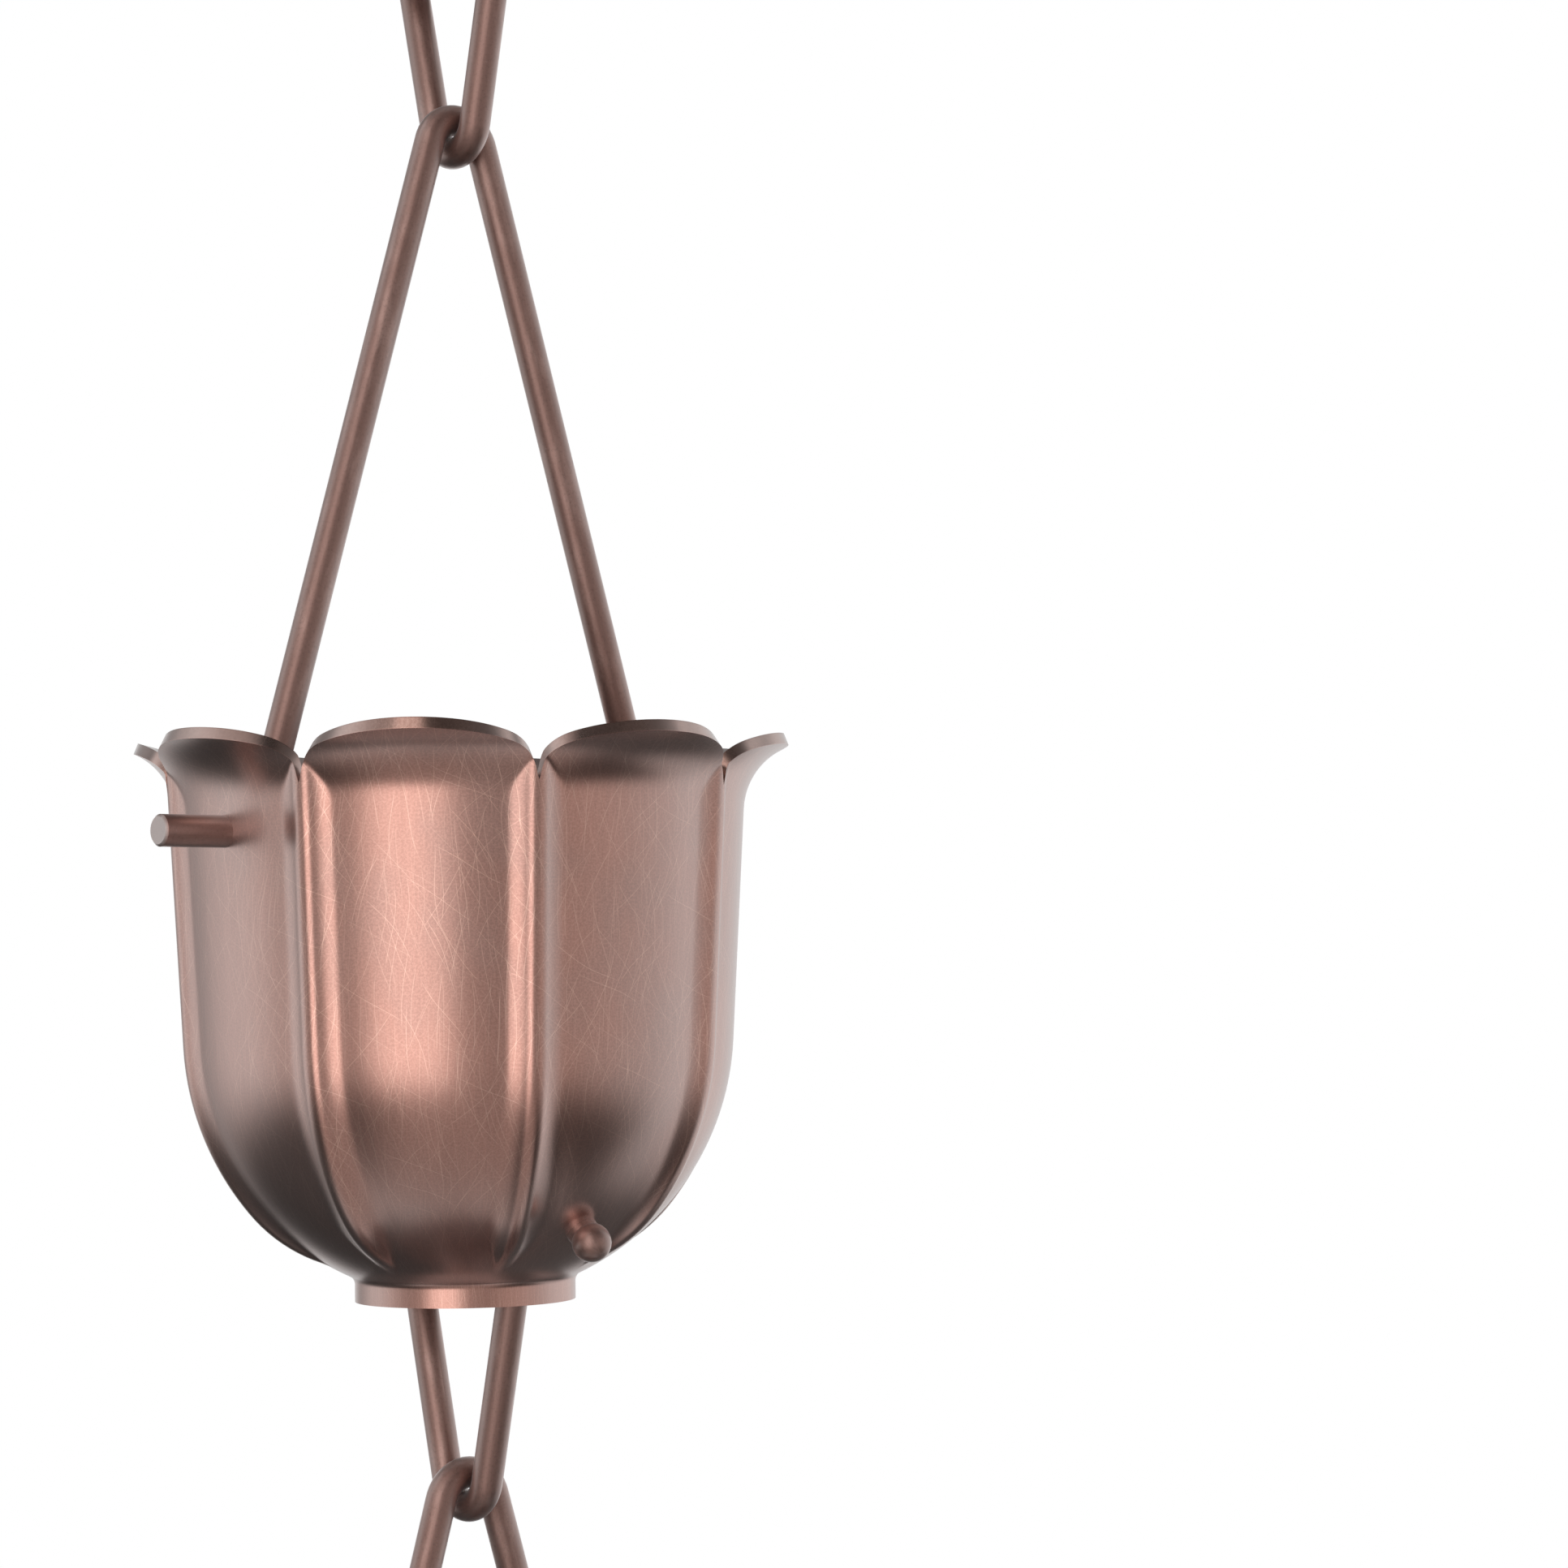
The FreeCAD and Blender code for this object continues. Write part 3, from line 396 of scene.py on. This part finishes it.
def lip_end(turn):
    """How far the lip has turned where it is cut off, at an angle from the middle of its petal.

    The cut is drawn in a plane that leans to face the lip: a flat arc at the tip, a flank along each seam,
    and a round shoulder that touches both. The first point of each meridian outside them is the end.
    """
    centre_r, centre_z = flare_centre()
    reach = FLARE_RADIUS + SHEET / 2

    def seen(flare, at):
        """A point of the lip in that plane: sideways from the petal's middle, and up the plane."""
        radius = centre_r - reach * np.cos(flare)
        height = centre_z + reach * np.sin(flare)
        up = radius * np.cos(at) * math.sin(TRIM_LEAN) + height * math.cos(TRIM_LEAN)
        return np.stack(np.broadcast_arrays(radius * np.sin(at), up), axis=-1)

    end = np.array([0.0, seen(PETAL_TIP, 0.0)[1] - PETAL_END_RADIUS])
    notch = seen(NOTCH_FLARE, HALF_PETAL)
    way = seen(FLARE_END, HALF_PETAL) - notch
    way = way / np.linalg.norm(way)
    out = np.array([way[1], -way[0]])
    foot = notch - np.array([NOTCH_WIDTH / 2, 0.0])
    inner = foot - out * SHOULDER_RADIUS - end
    along = inner @ way
    rise = math.sqrt(along ** 2 - inner @ inner + (PETAL_END_RADIUS - SHOULDER_RADIUS) ** 2) - along
    shoulder = end + inner + way * rise
    outwards = shoulder - end
    flare = np.linspace(SIDE_ANGLE, TRIM_SEARCH_END, TRIM_SEARCH_STEPS)
    at = seen(flare[:, None], np.abs(turn)[None])
    from_shoulder = at - shoulder
    past_end = np.linalg.norm(at - end, axis=-1) > PETAL_END_RADIUS
    past_flank = (at - foot) @ out > 0
    in_corner = (from_shoulder @ way > 0) & (from_shoulder @ np.array([outwards[1], -outwards[0]]) > 0)
    past_corner = in_corner & (np.linalg.norm(from_shoulder, axis=-1) > SHOULDER_RADIUS)
    outside = (at[..., 1] > notch[1]) & (past_end | past_flank | past_corner)
    return flare[np.argmax(outside, axis=0)]


def meridian(rows):
    """Radius, height, angle of the normal and length along the outer face, from the collar to the flare.

    A straight collar, a small hollow throat, a round bowl and a straight leaning side, each touching the
    next; rows gives how many steps each of them takes.
    """
    collar_rows, throat_rows, bowl_rows, side_rows = rows
    neck = math.acos((COLLAR_RADIUS + NECK_RADIUS) / (BOWL_RADIUS + NECK_RADIUS))
    throat_z = -BOWL_DEPTH - (BOWL_RADIUS + NECK_RADIUS) * math.sin(neck)
    collar = np.linspace(-COLLAR_DEPTH, throat_z, collar_rows, endpoint=False)
    throat = np.linspace(0, neck, throat_rows, endpoint=False)
    bowl = np.linspace(-neck, -SIDE_ANGLE, bowl_rows, endpoint=False)
    centre_r = flare_centre()[0]
    side_low = np.array([BOWL_RADIUS * math.cos(SIDE_ANGLE),
                         -BOWL_DEPTH - BOWL_RADIUS * math.sin(SIDE_ANGLE)])
    side_high = np.array([centre_r - FLARE_RADIUS * math.cos(SIDE_ANGLE), FLARE_START])
    side = side_low + np.linspace(0, 1, side_rows, endpoint=False)[:, None] * (side_high - side_low)
    radius = np.concatenate([np.full(collar_rows, COLLAR_RADIUS),
                             COLLAR_RADIUS + NECK_RADIUS * (1 - np.cos(throat)),
                             BOWL_RADIUS * np.cos(bowl), side[:, 0]])
    height = np.concatenate([collar, throat_z + NECK_RADIUS * np.sin(throat),
                             -BOWL_DEPTH + BOWL_RADIUS * np.sin(bowl), side[:, 1]])
    slope = np.concatenate([np.zeros(collar_rows), -throat, bowl, np.full(side_rows, -SIDE_ANGLE)])
    steps = np.hypot(np.diff(radius), np.diff(height))
    return radius, height, slope, np.concatenate([[0], np.cumsum(steps)])


def seam_rise(radius, off_seam, fade):
    """How far a seam stands out of the sheet at an angle from its middle.

    Across the seam the section is a round crest between two hollow flanks. It is measured from the plane
    that touches the cup at the seam, so the cup's own fall is added; fade lowers it where the seam ends.
    """
    across = radius * np.sin(off_seam)
    reach = SEAM_CREST + SEAM_FOOT
    crest_z = SEAM_HEIGHT - SEAM_CREST
    span = np.array([SEAM_HALF_WIDTH, -SEAM_FOOT_DEPTH - crest_z])
    far = np.linalg.norm(span)
    along = (reach ** 2 - SEAM_FOOT ** 2 + far ** 2) / (2 * far)
    out = math.sqrt(reach ** 2 - along ** 2)
    foot_x = (span[0] * along - span[1] * out) / far
    foot_z = crest_z + (span[1] * along + span[0] * out) / far
    crest = crest_z + np.sqrt(np.maximum(SEAM_CREST ** 2 - across ** 2, 0))
    flank = foot_z - np.sqrt(np.maximum(SEAM_FOOT ** 2 - np.minimum(across - foot_x, 0) ** 2, 0))
    rise = np.where(across < foot_x * SEAM_CREST / reach, crest, flank)
    rise = rise + radius * (1 - np.cos(off_seam)) - fade - np.maximum(across - SEAM_HALF_WIDTH, 0)
    return (rise + np.sqrt(rise ** 2 + SEAM_SOFTNESS ** 2)) / 2


def sheet_face(turn, rows, flare_rows, inset):
    """One face of the sheet on a grid: rows up the meridian, then rows across the flare to the lip's cut.

    Each point is the plain cup's point moved along its normal by the seam's rise, less the inset. Gives
    radius, height and length along the outer face.
    """
    radius, height, slope, length = meridian(rows)
    every = np.ones_like(turn)[None]
    share = np.concatenate([np.linspace(0, 1, flare_rows)[:-1] ** FLARE_CROWDING, [1.0]])[:, None]
    flare = SIDE_ANGLE + share * (lip_end(turn) - SIDE_ANGLE)[None]
    centre_r, centre_z = flare_centre()
    radius = np.vstack([radius[:, None] * every, centre_r - FLARE_RADIUS * np.cos(flare)])
    height = np.vstack([height[:, None] * every, centre_z + FLARE_RADIUS * np.sin(flare)])
    first = len(length)
    side_top = length[-1] + np.hypot(radius[first] - radius[first - 1], height[first] - height[first - 1])
    curled = FLARE_RADIUS * (flare - SIDE_ANGLE)
    length = np.vstack([length[:, None] * every, side_top + curled])
    past = np.maximum(-slope - SEAM_FADE_ANGLE, 0) * BOWL_RADIUS
    below = past ** 2 / 2 * (1 / SEAM_FADE_RADIUS - 1 / BOWL_RADIUS)
    above = curled ** 2 / 2 * (1 / FLARE_RADIUS - 1 / SEAM_TOP_RADIUS)
    fade = np.vstack([below[:, None] * every, above])
    slope = np.vstack([slope[:, None] * every, -flare])
    rise = seam_rise(radius, (HALF_PETAL - np.abs(turn))[None], fade)
    rise[:rows[0] + rows[1]] = 0
    out = rise - inset
    return radius + out * np.cos(slope), height + out * np.sin(slope), length


def ring_rows(outer, inner):
    """The rows of both faces in one ring, with two rows across the lip's edge and two under the collar."""
    share = np.array([[EDGE_CHAMFER], [1 - EDGE_CHAMFER]])
    lip = outer[-1] + share * (inner[-1] - outer[-1])
    foot = inner[0] + share * (outer[0] - inner[0])
    return np.vstack([outer, lip, inner[::-1], foot])


def cup_mesh():
    """A cup as one closed ring of rows: up outside, over the lip's edge, down inside, under the collar.

    One petal's grid of radius and height is repeated round the cup; columns crowd towards the seams.
    """
    flank = HALF_PETAL - NOTCH_SHARE * NOTCH_WIDTH / BOWL_RADIUS
    closing = 1 - np.linspace(1, 0, HALF_COLUMNS) ** COLUMN_CROWDING
    half = np.append(flank * closing, HALF_PETAL)
    turn = np.concatenate([-half[::-1], half[1:-1]])
    outer_r, outer_z, outer_length = sheet_face(turn, OUTER_ROWS, OUTER_FLARE_ROWS, 0.0)
    inner_r, inner_z, inner_length = sheet_face(turn, INNER_ROWS, INNER_FLARE_ROWS, SHEET)
    radius = np.tile(ring_rows(outer_r, inner_r), PETALS)
    height = np.tile(ring_rows(outer_z, inner_z), PETALS)
    angle = (np.arange(PETALS)[:, None] * 2 * HALF_PETAL + turn[None]).ravel()
    points = np.stack([radius * np.cos(angle), radius * np.sin(angle), height], axis=-1)
    lip_length = outer_length[-1:] + EDGE_LENGTHS
    length = np.vstack([outer_length, lip_length, inner_length[::-1], 0 * outer_length[:2]])
    wide = np.append(angle, angle[0] + 2 * math.pi) * BOWL_RADIUS
    tall = np.pad(np.tile(length, PETALS), ((0, 1), (0, 1)), mode="wrap")
    mesh = grid_mesh("cup", points, np.stack(np.broadcast_arrays(wide[None], tall), axis=-1))
    rows = [len(outer_r), 2, len(inner_r), 2]
    # The inside mask: 1 on the inner face, half on the edges between faces; the finish paints shade there.
    mark_points(mesh, "inside", np.repeat(np.repeat([0.0, 0.5, 1.0, 0.5], rows), len(angle)))
    mark_points(mesh, "edge", np.repeat(np.repeat([0.0, 1.0, 0.0, 1.0], rows), len(angle)))
    mesh.set_sharp_from_angle(angle=SHEET_CREASE)
    return mesh


def hairlines(unrolled, degrees):
    """Thin, slightly bent scratches that run one way.

    Each long cell has at most one, at a chance place across it; the more they slant, the further apart.
    """
    spacing = SCRATCH_SPACING + SCRATCH_THINNING * abs(degrees)
    slanted = {"Vector": unrolled, "Rotation": (0, 0, math.radians(degrees))}
    turned = unrolled.node("ShaderNodeMapping", None, slanted)
    bend = turned.noise(SCRATCH_WAVES, detail=0.0, roughness=0.5) * SCRATCH_BEND
    across = (turned.node("ShaderNodeSeparateXYZ", None, {0: turned}, "X") + bend) / spacing
    column = turned.math("FLOOR", across)
    shift = turned.node("ShaderNodeTexWhiteNoise", {"noise_dimensions": "1D"}, {"W": column + degrees})
    length = turned.node("ShaderNodeSeparateXYZ", None, {0: turned}, "Y")
    along = length / SCRATCH_LENGTH + shift * SCRATCH_SCATTER
    row = turned.math("FLOOR", along)
    cell = turned.node("ShaderNodeCombineXYZ", None, {0: column, 1: row, 2: degrees})
    chance = turned.node("ShaderNodeTexWhiteNoise", {"noise_dimensions": "3D"}, {"Vector": cell})
    middle = column + SCRATCH_MARGIN + shift * (1 - 2 * SCRATCH_MARGIN)
    off_line = turned.math("ABSOLUTE", across - middle) * spacing
    off_middle = turned.math("ABSOLUTE", along - row - 0.5)
    line = off_line.step(SCRATCH_EDGE, SCRATCH_CORE)
    return line * off_middle.step(*SCRATCH_TAPER) * chance.step(SCRATCH_FAINTEST, 1.0)


def sheet_finish():
    """Brushed copper sheet, aged to a rosy brown: fine upright grain, stray hairlines and dull patches."""
    material, surface, shade = new_finish("brushed_aged_copper")
    unrolled = shade.node("ShaderNodeUVMap", {"uv_map": "unrolled"})
    place = shade.node("ShaderNodeTexCoord", None, None, "Object")
    inside = shade.node("ShaderNodeAttribute", {"attribute_name": "inside"}, None, "Fac")
    edge = shade.node("ShaderNodeAttribute", {"attribute_name": "edge"}, None, "Fac")
    grain = unrolled.noise((4200, 190, 1), detail=5.0, roughness=0.66)
    coarse = unrolled.noise((900, 26, 1), detail=2.0, roughness=0.5)
    speck = unrolled.noise((3600, 3600, 1), detail=3.0, roughness=0.7)
    patch = place.noise((42, 42, 30), detail=3.0, roughness=0.55)
    lines = sum(hairlines(unrolled, degrees) for degrees in SCRATCH_ANGLES)
    dull = patch.step(0.50, 0.30) * DULL_AMOUNT
    rosy = (patch * 0.7 + coarse * 0.3).step(0.35, 0.65).tint(ROSY_DEEP, ROSY_LIGHT)
    worn = dull.tint(rosy, DULL_BROWN)
    brushed = (grain.step(0.62, 0.34) * GRAIN_AMOUNT).tint(worn, GRAIN_DARK)
    speckled = (speck.step(0.40, 0.62) * SPECK_AMOUNT).tint(brushed, SPECK_LIGHT)
    scratched = (lines * SCRATCH_AMOUNT).tint(speckled, SCRATCH_LIGHT)
    rim = speck.step(0.38, 0.62).tint(RIM_DEEP, RIM_LIGHT)
    outer = (edge * RIM_AMOUNT).tint(scratched, rim)
    height = grain * 0.35 + coarse * 0.1 - lines * 0.3 + speck * (0.3 + edge * 0.4)
    relief = {"Strength": 0.10, "Distance": SHEET_RELIEF, "Height": height}
    feed(surface,
         Metallic=1.0,
         # Painted shade: the base colour darkens on the cup's inner face, and half as much on its edges.
         Base_Color=(inside * INSIDE_SHADE_AMOUNT).tint(outer, INSIDE_PAINTED_SHADE),
         Roughness=SHEET_ROUGHNESS + grain * 0.05 + dull * 0.10 - edge * 0.08,
         Normal=shade.node("ShaderNodeBump", None, relief),
         Specular_Tint=GRAZING_GREY,
         Coat_Weight=film_weight(shade, least=0.06, gain=0.94),
         Coat_Roughness=0.28,
         Coat_IOR=3.1,
         Sheen_Weight=0.12,
         Sheen_Roughness=SHEEN_ROUGHNESS)
    return material


cup_form = cup_mesh()
sheet_material = sheet_finish()
for cup in range(CUP_COUNT):
    hang(cup_form, "cup", cup, HANGER_HEIGHT, sheet_material)

# Lower loops. Each is one length of the same wire in a narrow V: its two ends pass out through the bowl
# and are upset into balls that hold it, and its bend below the collar carries the next hanger.
LOOP_LEG = math.radians(13.4)
LOOP_BEND = 0.0045
STUD_ANGLE = math.radians(37)
STUD_HOLE = math.radians(46.3)
STUD_LENGTH = 0.0031
BALL_RADIUS = 0.00245
BALL_POLE = math.radians(8)
BALL_ROWS = 18


def loop_corners():
    """Where the loop's straight runs meet, from one ball's far side to the other's."""
    to_hole = np.array([math.cos(STUD_HOLE), -math.sin(STUD_HOLE)])
    hole = np.array([0.0, -BOWL_DEPTH]) + (BOWL_RADIUS - SHEET / 2) * to_hole
    low = np.array([0.0, -LOOP_DROP - HOOK_RADIUS / math.sin(LOOP_LEG)])
    leg = np.array([math.sin(LOOP_LEG), math.cos(LOOP_LEG)])
    stud = np.array([math.cos(STUD_ANGLE), -math.sin(STUD_ANGLE)])
    corner = low + leg * crossed(hole - low, stud) / crossed(leg, stud)
    tip = hole + stud * (STUD_LENGTH + BALL_RADIUS)
    flip = np.array([-1.0, 1.0])
    return [tip * flip, corner * flip, low, corner, tip]


loop_bends = (LOOP_BEND, HOOK_RADIUS, LOOP_BEND)
ball_turn = np.linspace(BALL_POLE, math.pi - math.asin(WIRE_RADIUS / BALL_RADIUS), BALL_ROWS)
ball_end = np.stack([BALL_RADIUS * (1 - np.cos(ball_turn)), BALL_RADIUS * np.sin(ball_turn)], axis=1)
loop_form = wire_mesh("loop", loop_corners(), loop_bends, Y_AXIS, ball_end)
for cup in range(CUP_COUNT):
    hang(loop_form, "loop", cup, HANGER_HEIGHT, wire_material)

# Studio. The chain hangs over a plain pale floor, before a white surround. A wide soft light stands a
# little to the left of the camera, the room in front is grey, and the walls at the sides are paler.
CAMERA_PLACE = (-0.293058, -0.392992, -0.457793)
CAMERA_TURN = (93.0, 0.746, -41.551)
CAMERA_LENS = 86.96
CAMERA_SENSOR = 36.0
CAMERA_NEAREST = 0.01
FRONT_X, FRONT_Y = np.array(CAMERA_PLACE[:2]) / math.hypot(*CAMERA_PLACE[:2])
FRONT = (FRONT_X, FRONT_Y, 0.0)
RIGHT = (-FRONT_Y, FRONT_X, 0.0)
UP = (0.0, 0.0, 1.0)
WHITE = (1, 1, 1, 1)
KEY_LEVEL = 1.35
ROOM_LEVEL = 0.38
LEFT_WALL_GAIN = 0.34
LEFT_BACK_LOSS = 0.30
RIGHT_FRONT_GAIN = 0.18
RIGHT_WALL_GAIN = 0.16
RIGHT_BACK_GAIN = 0.25
CEILING_FRONT_LOSS = 0.78
CEILING_SIDE_GAIN = 0.12
CEILING_TOP_LOSS = 0.6
CEILING_BACK_LOSS = 0.75
STRIP_LIGHT = 0.95
CORNER_LIGHT = 0.6
ROOM_FLOOR_LOSS = 0.93
FLOOR_GREY = (0.86, 0.86, 0.86, 1)
FLOOR_ROUGHNESS = 0.9
FLOOR_GLOW = 0.6
FLOOR_HEIGHT = -0.96
FLOOR_REACH = 1.6
FLOOR_FADE_START = 0.35 * FLOOR_REACH
FLOOR_FADE_END = 0.97 * FLOOR_REACH
FLOOR_MIDDLE = 0.01
FLOOR_RINGS = 24
FLOOR_SIDES = 96


def surround():
    """White to the camera; to all else a soft light in a grey room, by the ray's angle round and height."""
    world = bpy.data.worlds.new("studio")
    bpy.context.scene.world = world
    world.use_nodes = True
    shade = Shade(world.node_tree)
    way = shade.node("ShaderNodeTexCoord")

    def along(axis):
        """How far the ray's direction goes along an axis."""
        return shade.node("ShaderNodeVectorMath", {"operation": "DOT_PRODUCT"}, {0: way, 1: axis}, "Value")

    side, front, height = along(RIGHT), along(FRONT), along(UP)
    round_angle = shade.math("ARCTAN2", side, front)

    def turned(start, end):
        """0 before one angle to the right of the front, in degrees, and 1 past the other."""
        return round_angle.step(math.radians(start), math.radians(end))

    def band(middle, reach, soft):
        """1 within so many degrees of an angle, and 0 past a soft edge."""
        off = shade.math("ABSOLUTE", round_angle - math.radians(middle))
        return off.step(math.radians(reach + soft), math.radians(reach))

    # The soft light is a tall box, and the grey of the walls changes in steps round the room.
    key = band(middle=-22, reach=13, soft=7) * height.step(-0.49, -0.32) * height.step(0.86, 0.66)
    left_wall = turned(-55, -95) * LEFT_WALL_GAIN - turned(-112, -140) * LEFT_BACK_LOSS
    right_wall = turned(22, 48) * RIGHT_FRONT_GAIN + turned(85, 110) * RIGHT_WALL_GAIN
    right_back = turned(110, 150) * RIGHT_BACK_GAIN
    walls = ROOM_LEVEL + left_wall + right_wall + right_back
    # The ceiling is dark in front, behind and straight overhead.
    over = height.step(0.35, 0.62)
    before = band(middle=30, reach=55, soft=25)
    behind = over * front.step(-0.18, -0.48)
    room = walls * (1 - over * before * CEILING_FRONT_LOSS) + over * (1 - before) * CEILING_SIDE_GAIN
    top = height.step(0.86, 0.98)
    level = room * (1 - top * CEILING_TOP_LOSS) * (1 - behind * CEILING_BACK_LOSS)
    # The room's floor is dark but for a pale strip in front and a paler corner far to the right.
    off_strip = shade.math("ABSOLUTE", side + 0.05)
    strip = front.step(-0.15, 0.12) * off_strip.step(0.68, 0.30) * STRIP_LIGHT
    corner = side.step(0.55, 0.80) * front.step(0.12, -0.15) * CORNER_LIGHT
    low = height + turned(20, 60) * 0.07
    below = low.step(-0.20, -0.48) * (1 - shade.math("MAXIMUM", strip, corner))
    light = level * (1 - below * ROOM_FLOOR_LOSS) + key * KEY_LEVEL
    # The camera sees white, and the metal mirrors the same white from right behind the chain.
    seen = shade.node("ShaderNodeLightPath", None, None, "Is Camera Ray")
    mirrored = shade.node("ShaderNodeLightPath", None, None, "Is Glossy Ray")
    through = shade.node("ShaderNodeLightPath", None, None, "Is Transmission Ray")
    right_behind = front.step(-0.80, -0.94) * height.step(0.42, 0.24)
    backdrop = shade.math("MAXIMUM", seen, (mirrored + through) * right_behind)
    feed(world.node_tree.nodes["Background"], Color=WHITE, Strength=backdrop + (1 - backdrop) * light)


def pale_floor():
    """A round floor below the chain, from polar rings, that fades into the white surround at its edge."""
    turn = np.linspace(0, 2 * math.pi, FLOOR_SIDES + 1)[:-1]
    out = np.linspace(FLOOR_MIDDLE, FLOOR_REACH, FLOOR_RINGS)[:, None]
    points = np.stack(np.broadcast_arrays(out * np.cos(turn), out * np.sin(turn), FLOOR_HEIGHT), axis=-1)
    index = np.arange(FLOOR_RINGS * FLOOR_SIDES).reshape(FLOOR_RINGS, FLOOR_SIDES)
    around = np.roll(index, -1, axis=1)
    faces = np.stack([index[:-1], index[1:], around[1:], around[:-1]], axis=-1).reshape(-1, 4)
    mesh = bpy.data.meshes.new("floor")
    mesh.from_pydata(points.reshape(-1, 3).tolist(), [], faces.tolist())
    material, surface, shade = new_finish("pale_floor")
    feed(surface, Base_Color=FLOOR_GREY, Roughness=FLOOR_ROUGHNESS)
    place = shade.node("ShaderNodeTexCoord", None, None, "Object")
    flat = shade.node("ShaderNodeVectorMath", {"operation": "MULTIPLY"}, {0: place, 1: (1, 1, 0)})
    away = shade.node("ShaderNodeVectorMath", {"operation": "LENGTH"}, {0: flat}, "Value")
    plain = Shade(material.node_tree, surface.outputs[0])
    white = shade.node("ShaderNodeEmission", None, {"Color": WHITE, "Strength": 1.0})
    clear = shade.node("ShaderNodeBsdfTransparent")
    seen = shade.node("ShaderNodeLightPath", None, None, "Is Camera Ray")
    fade = away.step(FLOOR_FADE_START, FLOOR_FADE_END)
    pale = shade.node("ShaderNodeMixShader", None, {0: seen * FLOOR_GLOW, 1: plain, 2: white})
    faded = shade.node("ShaderNodeMixShader", None, {0: fade, 1: pale, 2: clear})
    feed(material.node_tree.nodes["Material Output"], Surface=faded)
    mesh.materials.append(material)
    piece = bpy.data.objects.new("floor", mesh)
    piece.visible_glossy = False
    bpy.context.scene.collection.objects.link(piece)


def main_camera():
    """The viewpoint just below the middle cup's side, with the cup left of the middle of the picture."""
    data = bpy.data.cameras.new("camera")
    data.sensor_width = CAMERA_SENSOR
    data.lens = CAMERA_LENS
    data.clip_start = CAMERA_NEAREST
    camera = bpy.data.objects.new("camera", data)
    turn = Euler([math.radians(angle) for angle in CAMERA_TURN])
    camera.matrix_world = Matrix.LocRotScale(CAMERA_PLACE, turn, None)
    bpy.context.scene.collection.objects.link(camera)
    bpy.context.scene.camera = camera


surround()
pale_floor()
main_camera()
bpy.context.scene.view_settings.view_transform = "Standard"
